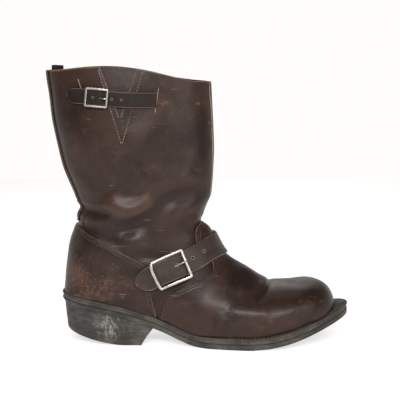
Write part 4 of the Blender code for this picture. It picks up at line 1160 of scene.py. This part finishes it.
FACING = 0.0012
FACING_DEPTH = 0.022
GUSSET = 0.0014
GUSSET_LAP = 0.006
PULL_REACH = (0.86, 1.10)
PULL_DEPTH = 0.020
PULL_RISE = 0.005
PULL_LEATHER = 0.0032
gusset_leather = grained(
    "gusset_leather", (0.018, 0.0100, 0.0078), (0.034, 0.0190, 0.0145), (0.066, 0.038, 0.028))
lining_leather = grained(
    "lining_leather", (0.014, 0.0085, 0.0068), (0.026, 0.015, 0.0118), (0.045, 0.027, 0.020),
    0.6, 1.0, 0.2)
under = -WALL - SKIN_GAP


def lining_sheet(u, v, depth, ends):
    """A sheet of lining leather of this depth, on the inside of the leg."""
    return LAST.worn(u[:, None], v, under), LAST.worn(u[:, None], v, under - depth), {
        "raw": rim_share(len(u), RIM_RAW, 0.0, *ends)[:, None]}


gusset_us = near_edge(split_u - GUSSET_LAP, LAST.top, 60)
left, right = (notch_v(gusset_us, side, GUSSET_LAP)[:, None] for side in (0, 1))
grid_v = left + (right - left) * np.linspace(0, 1, 34)
thick("gusset_leaf", [lining_sheet(gusset_us, grid_v, GUSSET, (False, True))],
      gusset_leather, "gusset", "gusset_leather")

facing_us = near_edge(LAST.top - FACING_DEPTH, LAST.top, 14, True, True)
before, after = (notch_v(facing_us, side, GUSSET_LAP + SKIN_GAP) for side in (0, 1))
seam = np.ones(len(facing_us))
thick("collar_facing_leather", [
    lining_sheet(facing_us, np.linspace(first, last, count, axis=1), FACING, (True, True))
    for first, last, count in ((-seam, before, 40), (after, seam, 90))
], lining_leather, "collar_facing", "lining_leather")

pull_inner = under - FACING - 2 * SKIN_GAP
pull_v = np.linspace(*PULL_REACH, 41)
pull_v = np.where(pull_v > 1, pull_v - 2, pull_v)
sides = []
for lift in (pull_inner, pull_inner - PULL_LEATHER):
    rings = [LAST.worn(LAST.top - down, pull_v, lift) for down in np.linspace(PULL_DEPTH, 0, 12)]
    rings += [rings[-1] + (0, 0, PULL_RISE * share) for share in (0.5, 0.9)]
    sides.append(np.array(rings))
mean = (sides[0][-1:] + sides[1][-1:]) / 2 + (0, 0, PULL_RISE * 0.13)
outer, inner = (np.concatenate([part, (part[-1:] + mean) / 2]) for part in sides)
thick("pull_loop", [(outer, inner, {})], lining_leather, "pull_strap", "lining_leather")


# The straps: thick oiled leather with cut edges and punched holes. The instep strap comes round
# from the inner side and buckles over its tab; the top strap is threaded through two slits.

STRAP = 0.0024
STRAP_LIFT = 0.0009
TAB = 0.0018
PUNCH_SIDES = 20
PUNCH_REACH = 0.004
INSTEP_PATH = (
    # side, along of SOLE_LENGTH, up of INSTEP_HEIGHT, slope in degrees
    (-1, 0.2725, 0.526, 24.0), (-1, 0.328, 0.590, 24.0), (-1, 0.385, 0.647, 24.0),
    (-1, 0.446, 0.702, 23.5), (-1, 0.515, 0.782, 24.5), (0, 0.567, 0.829, 30.0),
    (1, 0.515, 0.782, 24.5), (1, 0.446, 0.702, 23.5), (1, 0.385, 0.647, 24.0),
    (1, 0.330, 0.590, 24.0),
)
TOP_PATH = (
    # side, along of SOLE_LENGTH, up of BOOT_HEIGHT, slope in degrees
    (-1, 0.043, 0.914, -3.0), (-1, 0.085, 0.911, -4.0), (-1, 0.142, 0.906, -6.0),
    (-1, 0.200, 0.900, -4.0), (-1, 0.253, 0.897, -2.0), (-1, 0.335, 0.895, -2.0),
)


class Strap:
    """A strap's place on the last, in metres along it from the tip of its tail and across it."""

    def __init__(self, path, height, width, under, tip, buckle_at, buckle_length):
        edges = []
        for side, along, up, slope in path:
            turn = math.radians(slope)
            across = np.array([-math.sin(turn), math.cos(turn)]) * width / 2
            centre = np.array([along * SOLE_LENGTH, up * height])
            ends = [LAST.find(*spot, side) for spot in (centre + across, centre - across)]
            edges.append(np.ravel(ends))
        edges = np.array(edges)
        places = lengths(LAST.point(*(edges[:, :2] + edges[:, 2:]).T / 2))
        self.width, self.length, self.edges = width, places[-1], natural(places, edges)
        self.base, self.tip = STRAP_LIFT + under, tip
        self.buckle_at, self.ramp = buckle_at, buckle_length / 2

    def at(self, along, across, lift):
        """Points of the strap's space, this far off the last."""
        along, across, lift = together(along, across, lift)
        upper_u, upper_v, lower_u, lower_v = np.moveaxis(self.edges(along), -1, 0)
        share = 0.5 + across / self.width
        u = np.clip(lower_u + (upper_u - lower_u) * share, 0, LAST.top)
        v = lower_v + (upper_v - lower_v) * share
        base = LAST.point(u, v)
        return base + LAST.normal(u, v) * (lift + 0.6 * LAST.crease(base, v))[..., None]

    def lift(self, along):
        """The strap lies on its tab behind the buckle and drops to the boot in front of it."""
        return self.base + (TAB + SKIN_GAP) * (1 - eased((along - self.buckle_at) / self.ramp))

    def half(self, along):
        """Half the strap's width, which narrows round the tip of its tail."""
        near = np.minimum(along / self.tip, 1)
        return self.width / 2 * np.sqrt(np.maximum(1 - (1 - near) ** 2, 0.0004))


def strap_leather(name, dark, middle, light, gloss, shine, strap, holes, radius):
    """The strap's leather, worn pale round each of its punched holes."""
    centres = [tuple(strap.at(along, 0.0, strap.lift(along) + STRAP)) for along in holes]
    return grained(name, dark, middle, light, gloss, 0.8, shine, 0.12, (0.090, 0.055, 0.040),
                   [(centre, radius) for centre in centres])


def strap_piece(name, strap, stations, half, lift, depth, finish, node, spots, cut=None):
    """A flat strap with softened edges, raw along its sides and at its tip."""
    edge = [0.88, 0.95, 0.985, 1.0]
    shares = np.array([*edge[::-1], *np.linspace(0.76, -0.76, 13), *np.negative(edge)])
    crown = np.interp(abs(shares), (0, *edge), (1.0, 0.97, 0.90, 0.74, 0.45))
    along, across = stations[:, None], np.reshape(half, (-1, 1)) * shares
    middle, reach = np.reshape(lift, (-1, 1)) + depth / 2, depth / 2 * crown
    outer = strap.at(along, across, middle + reach)
    inner = strap.at(along, across, middle - reach * 0.9)
    sides_raw = np.interp(abs(shares), (0, 0.93, 0.975, 1.0), (0, 0, 0.7, 1.0))
    tip_raw = np.interp(along, (stations[0], stations[0] + 0.0008), (1.0, 0.0))
    values = {"raw": np.maximum(sides_raw, tip_raw), "rub": rubbed(outer, spots)}
    thick(name, [(outer, inner, values)], finish, node, "strap_leather", cut)


def settle(piece):
    """Turns a piece and its modifiers into one plain mesh."""
    bpy.context.view_layer.update()
    shown = piece.evaluated_get(bpy.context.evaluated_depsgraph_get())
    made = bpy.data.meshes.new_from_object(shown)
    piece.modifiers.clear()
    piece.data = made


def punched(piece, strap, places, radius):
    """Punches round holes through a strap, whose walls show the raw leather."""
    turns = np.linspace(0, 2 * math.pi, PUNCH_SIDES, endpoint=False)
    for along in places:
        centre = strap.at(along, 0.0, strap.lift(along) + STRAP / 2)
        axis = unit(strap.at(along, 0.0, strap.lift(along) + STRAP) - centre)
        side = unit(np.cross(axis, (0.3, 0.2, 1.0)))
        other = np.cross(axis, side)
        ring = [math.cos(t) * side + math.sin(t) * other for t in turns]
        points = [centre + axis * reach + spoke * radius
                  for reach in (-PUNCH_REACH, PUNCH_REACH) for spoke in ring]
        index = np.arange(len(points)).reshape(2, -1)
        faces = quads(np.pad(index, ((0, 0), (0, 1)), mode="wrap"))
        faces += [index[0, ::-1].tolist(), index[1].tolist()]
        punch = mesh_object("punch", points, [], faces)
        cut = piece.modifiers.new("punch", "BOOLEAN")
        cut.operation, cut.object, cut.solver = "DIFFERENCE", punch, "EXACT"
        settle(piece)
        bpy.data.objects.remove(punch)


# A buckle is (length, width, wire, corner, reach of the prong)
INSTEP_BUCKLE = (0.0376, 0.033, 0.0032, 0.0012, 0.012)
TOP_BUCKLE = (0.0245, 0.0204, 0.0024, 0.0008, 0.008)
INSTEP_HOLES, INSTEP_HOLE = (0.0475, 0.0655, 0.0800), 0.00135
TOP_HOLES, TOP_HOLE = (0.0285, 0.0480, 0.0570), 0.0009
INSTEP_WEAR = ((165, 108, 18, 10, 0.35), (110, 78, 12, 8, 0.25), (150, 96, 20, 4, 0.25))
TOP_WEAR = ((80, 268, 26, 5, 0.25), (30, 270, 12, 6, 0.25))
instep = Strap(
    INSTEP_PATH, INSTEP_HEIGHT, 0.025, SKIN_GAP + OVERLAY, 0.015, 0.039, INSTEP_BUCKLE[0])
top_strap = Strap(TOP_PATH, BOOT_HEIGHT, 0.016, 0.0, 0.010, 0.0325, TOP_BUCKLE[0])
instep_leather = strap_leather(
    "instep_strap_leather", (0.024, 0.0150, 0.0115), (0.046, 0.029, 0.0215),
    (0.085, 0.057, 0.043), 0.40, 0.26, instep, INSTEP_HOLES, INSTEP_HOLE)
top_leather = strap_leather(
    "top_strap_leather", (0.0115, 0.0076, 0.0066), (0.019, 0.0120, 0.0098),
    (0.036, 0.022, 0.0165), 0.46, 0.14, top_strap, TOP_HOLES, TOP_HOLE)
for name, strap, finish, spots, count, holes, radius in (
    ("instep", instep, instep_leather, INSTEP_WEAR, 170, INSTEP_HOLES, INSTEP_HOLE),
    ("top", top_strap, top_leather, TOP_WEAR, 110, TOP_HOLES, TOP_HOLE),
):
    tail = strap.tip * (1 - np.cos(np.linspace(0, math.pi / 2, 18)))
    stations = np.concatenate([tail[:-1], np.linspace(strap.tip, strap.length, count)])
    strap_piece(
        name + "_strap_leather", strap, stations, strap.half(stations), strap.lift(stations),
        STRAP, finish, name + "_strap", spots, lambda piece: punched(piece, strap, holes, radius))
    stations = np.linspace(strap.tip * 0.7, strap.buckle_at - strap.ramp * 0.2, 30)
    strap_piece(name + "_tab_leather", strap, stations, strap.width * 0.4, strap.base, TAB,
                finish, name + "_tab", spots)


# The buckles: cast square frames of worn nickel, each with a prong that rests on its front bar.
# Their plate is worn to the grey metal in clouds.

PRONG = 0.0018


def nickel():
    """Nickel plate worn to the grey metal in clouds, with fine scratches."""
    metal = Finish("worn_nickel")
    cloud = metal.noise(75, 4, 0.6)
    fine = metal.noise(900, 3, 0.6)
    worn = metal.between(cloud, 0.40, 0.66)
    return metal.finish(
        metal.total(cloud, (fine, 0.4)), 0.00010, 0.5,
        Base_Color=metal.blend(worn, (0.60, 0.57, 0.53), (0.33, 0.30, 0.265)), Metallic=1.0,
        Roughness=metal.between(metal.total(cloud, (fine, 0.3)), 0.4, 0.9, 0.20, 0.46))


def frame_path(centre, length, width, corner, lift):
    """A buckle's rectangle with round corners, in a strap's own measures."""
    path = []
    signs = ((1, 1), (-1, 1), (-1, -1), (1, -1))
    for quarter, (sx, sy) in enumerate(signs):
        for step in range(7):
            turn = math.pi / 2 * (quarter + step / 6)
            path.append((centre + sx * (length / 2 - corner) + corner * math.cos(turn),
                         sy * (width / 2 - corner) + corner * math.sin(turn), lift))
        tx, ty = signs[(quarter + 1) % 4]
        for share in np.linspace(0, 1, 11)[1:-1]:
            mx, my = sx + (tx - sx) * share, sy + (ty - sy) * share
            edge_x = length / 2 if abs(mx) == 1 else length / 2 - corner
            edge_y = width / 2 if abs(my) == 1 else width / 2 - corner
            path.append((centre + mx * edge_x, my * edge_y, lift))
    return np.array(path)


def squared(value):
    """Makes a bar's round section a little square."""
    return np.sign(value) * abs(value) ** 0.72


def bar(name, centres, ups, radii, flat, finish, node, slot, closed=False, sides=16, values=None):
    """A bar along a line of centres: flat is its height over its width."""
    ups = unit(ups)
    out = unit(np.cross(directions(centres, closed), ups))
    turns = 2 * math.pi * (np.arange(sides) + 0.5) / sides
    wide, high = squared(np.cos(turns))[:, None], flat * squared(np.sin(turns))[:, None]
    rings = centres[:, None] + np.reshape(radii, (-1, 1, 1)) * (
        wide * out[:, None] + high * ups[:, None])
    index = np.arange(len(centres) * sides).reshape(-1, sides)
    faces = quads(np.pad(index, ((0, int(closed)), (0, 1)), mode="wrap").T)
    if not closed:
        faces += [index[0].tolist(), index[-1, ::-1].tolist()]
    values = {label: np.full(index.size, value) for label, value in (values or {}).items()}
    new_piece(name, rings.reshape(-1, 3), faces, finish, node, slot, values)


def on_strap(strap, path):
    """Points of a path in a strap's own measures, and which way is off the boot there."""
    centres = strap.at(*path.T)
    return centres, strap.at(*(path + (0, 0, 0.001)).T) - centres


bright = nickel()
for name, strap, (length, width, wire, corner, reach) in (
    ("instep", instep, INSTEP_BUCKLE), ("top", top_strap, TOP_BUCKLE),
):
    radius = wire / 2
    over_strap = strap.lift(strap.buckle_at - strap.ramp) + STRAP + SKIN_GAP + radius
    loop = frame_path(strap.buckle_at, length - wire, width - wire, corner, over_strap)
    bar(name + "_buckle_frame", *on_strap(strap, loop), radius, 0.92, bright, name + "_buckle",
        "steel", True)
    front = strap.buckle_at + length / 2 - radius
    over = over_strap + radius + SKIN_GAP + PRONG / 2
    low = strap.lift(front - reach) + STRAP + SKIN_GAP
    knots = natural([0, 0.35, 0.85, 1.0], [
        [front - reach, 0.0, low - 0.0006], [front - reach * 0.62, 0.0, (low + over) / 2],
        [front - radius * 1.2, 0.0, over], [front + radius * 0.9, 0.0, over - 0.0002],
    ])(np.linspace(0, 1, 22))
    taper = PRONG / 2 * np.concatenate([np.linspace(1.05, 0.95, 18), [0.9, 0.82, 0.66, 0.35]])
    bar(name + "_prong_rod", *on_strap(strap, knots), taper, 0.9, bright, name + "_prong",
        "steel", sides=12)


# The slits and the front fold: two short cuts in the leg that the top strap is threaded through,
# with lips of paler leather, and the sharp ridge down the front where the leg was pressed flat.

def lip(name, places, rise, raw):
    """A low ridge of leather along these (u, v) places, which fades out at both ends."""
    fade = np.sqrt(np.clip(1 - np.linspace(-1, 1, len(places)) ** 8, 0.02, 1))
    bar(name, LAST.worn(*places.T, 0.0), LAST.normal(*places.T), rise * fade, 1.0, leather,
        "upper", "leather", sides=10, values={"raw": raw})


def side_line(ends, count):
    """The (u, v) places on the outer side that show as a straight line, in millimetres."""
    return np.column_stack(LAST.find(*np.linspace(*ends, count).T / 1000, -1))


lip("front_slit_lip", side_line(((108.5, 279.5), (104.6, 253.0)), 28), 0.0006, 2.0)
lip("rear_slit_lip", side_line(((23.6, 288.5), (27.2, 277.2)), 28), 0.0006, 2.0)
fold_us = np.linspace(LAST.seam, LAST.top, 300)
up = LAST.point(fold_us, -0.035)[:, 2]
fold_us = fold_us[(up > 0.157) & (up < 0.286)]
# painted highlight: the front crease's ridge is painted in the pale colour of cut leather, as the
# highlight along the sharp crease
lip("front_fold_painted_highlight", np.column_stack([fold_us, np.full(len(fold_us), -0.075)]), 0.00055, 1.2)


# The stitching: waxed thread sewn in rows beside the cut edges, and one stout row along the welt.
# It is tan where it is clean, and brown where it has been walked and oiled.

def stitch_nodes():
    """Lays one stitch at each step along every line of a mesh. A few have worn away."""
    tree = bpy.data.node_groups.new("stitch_row", "GeometryNodeTree")
    for label, kind in (("Geometry", "Geometry"), ("Step", "Float"), ("Length", "Float"),
                        ("Radius", "Float"), ("Thread", "Material")):
        tree.interface.new_socket(label, in_out="INPUT", socket_type="NodeSocket" + kind)
    tree.interface.new_socket("Geometry", in_out="OUTPUT", socket_type="NodeSocketGeometry")
    given = tree.nodes.new("NodeGroupInput").outputs

    def node(kind, inputs, **settings):
        return add_node(tree, kind, inputs, **settings)

    line = node("GeometryNodeMeshToCurve", {"Mesh": given["Geometry"]})[0]
    places = node(
        "GeometryNodeCurveToPoints", {"Curve": line, "Length": given["Step"]}, mode="LENGTH")
    turn = node("FunctionNodeAlignRotationToVector", {"Vector": places["Tangent"]}, axis="Z")[0]
    uneven = node("FunctionNodeRandomValue", {2: 0.40, 3: 0.52, 8: 5}, data_type="FLOAT")[1]
    kept = node("FunctionNodeRandomValue", {6: 0.95, 8: 9}, data_type="BOOLEAN")[3]
    half = node("ShaderNodeMath", {0: given["Length"], 1: uneven}, operation="MULTIPLY")[0]
    size = node("ShaderNodeCombineXYZ", {0: given["Radius"], 1: given["Radius"], 2: half})[0]
    ball = node("GeometryNodeMeshUVSphere", {"Segments": 8, "Rings": 5, "Radius": 1.0})[0]
    sewn = node("GeometryNodeInstanceOnPoints", {
        "Points": places["Points"], "Selection": kept, "Instance": ball, "Rotation": turn,
        "Scale": size})[0]
    real = node("GeometryNodeRealizeInstances", {"Geometry": sewn})[0]
    done = node("GeometryNodeSetMaterial", {"Geometry": real, "Material": given["Thread"]})[0]
    feed(tree, tree.nodes.new("NodeGroupOutput").inputs["Geometry"], done)
    return tree


STITCHES = stitch_nodes()


def sewn(name, lines, step, length, radius, thread, closed=False):
    """Rows of stitches along lines of points, turned into one plain mesh."""
    points, edges = [], []
    for line in lines:
        start = len(points)
        points.extend(line)
        edges += [(k, k + 1) for k in range(start, len(points) - 1)]
        if closed:
            edges.append((len(points) - 1, start))
    seam = mesh_object(name, points, edges, [])
    nodes = seam.modifiers.new("stitches", "NODES")
    nodes.node_group = STITCHES
    given = {"Step": step, "Length": length, "Radius": radius, "Thread": thread}
    for socket in STITCHES.interface.items_tree:
        if socket.name in given:
            nodes[socket.identifier] = given[socket.name]
    settle(seam)
    seam.data.shade_smooth()
    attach(seam, "root")


def waxed(name, clean, dirty):
    """Waxed thread, clean in some places and dirty in others."""
    thread = Finish(name)
    grime = thread.between(thread.noise(60, 4, 0.6), 0.40, 0.62)
    return thread.finish(thread.streaks((900, 900, 900), 2), 0.0002, 0.5,
                         Base_Color=thread.blend(grime, clean, dirty), Roughness=0.62)


tan_thread = waxed("tan_thread", (0.31, 0.230, 0.170), (0.15, 0.105, 0.075))
brown_thread = waxed("brown_thread", (0.115, 0.078, 0.058), (0.050, 0.032, 0.024))
welt_thread = waxed("welt_thread", (0.120, 0.105, 0.090), (0.050, 0.042, 0.035))
PANEL_THREAD = (0.0029, 0.0025, 0.00034, brown_thread)

on_panel = SKIN_GAP + OVERLAY * 0.91 + 0.00015
vamp_rows = [vamp_line(inset, 240) for inset in SEWN]
counter_rows = [counter_line(inset, side, 200) for inset in SEWN for side in (-1, 1)]
sewn("vamp_stitches", [LAST.worn(*row.T, on_panel) for row in vamp_rows], *PANEL_THREAD)
sewn("counter_stitches", [LAST.worn(*row.T, on_panel) for row in counter_rows], *PANEL_THREAD)

strip_u = np.linspace(strip_us[0] + 0.004, LAST.top - 0.003, 160)
inset = strip_v(strip_u, STRIP_WIDTH / 2 - 0.0026)
on_strip = SKIN_GAP + OVERLAY + 0.0001
sewn("back_strip_stitches", [
    LAST.worn(strip_u, side * (1 - inset), on_strip) for side in (-1, 1)], *PANEL_THREAD)

sewn("v_stitches", [LAST.worn(*side_line(ends, 50).T, 0.0001) for ends in (
    ((45.6, 297.0), (68.6, 222.0)), ((91.2, 294.6), (70.6, 222.4)),
)], 0.0031, 0.0024, 0.00042, tan_thread)

gusset_u = np.full(60, LAST.top - 0.0042)
left, right = (notch_v(gusset_u[:1], side, 0.0) for side in (0, 1))
gusset_v = left + (right - left) * np.linspace(0.16, 0.84, 60)
sewn("gusset_stitches", [LAST.worn(gusset_u, gusset_v, under + 0.0001)],
     0.0031, 0.0022, 0.00030, brown_thread)

facing_u = np.full(120, LAST.top - FACING_DEPTH + 0.0028)
before, after = (
    notch_v(facing_u[:1], side, GUSSET_LAP + SKIN_GAP)[0] + (-0.01, 0.01)[side] for side in (0, 1))
sewn("facing_stitches", [
    LAST.worn(facing_u, np.linspace(*span, 120), under - FACING - 0.0001)
    for span in ((-0.99, before), (after, 0.99))], 0.0031, 0.0024, 0.00034, brown_thread)

sewn("welt_stitches", [sole_loop(0.0038, welt_top - 0.0001)],
     0.0046, 0.0040, 0.00062, welt_thread, True)
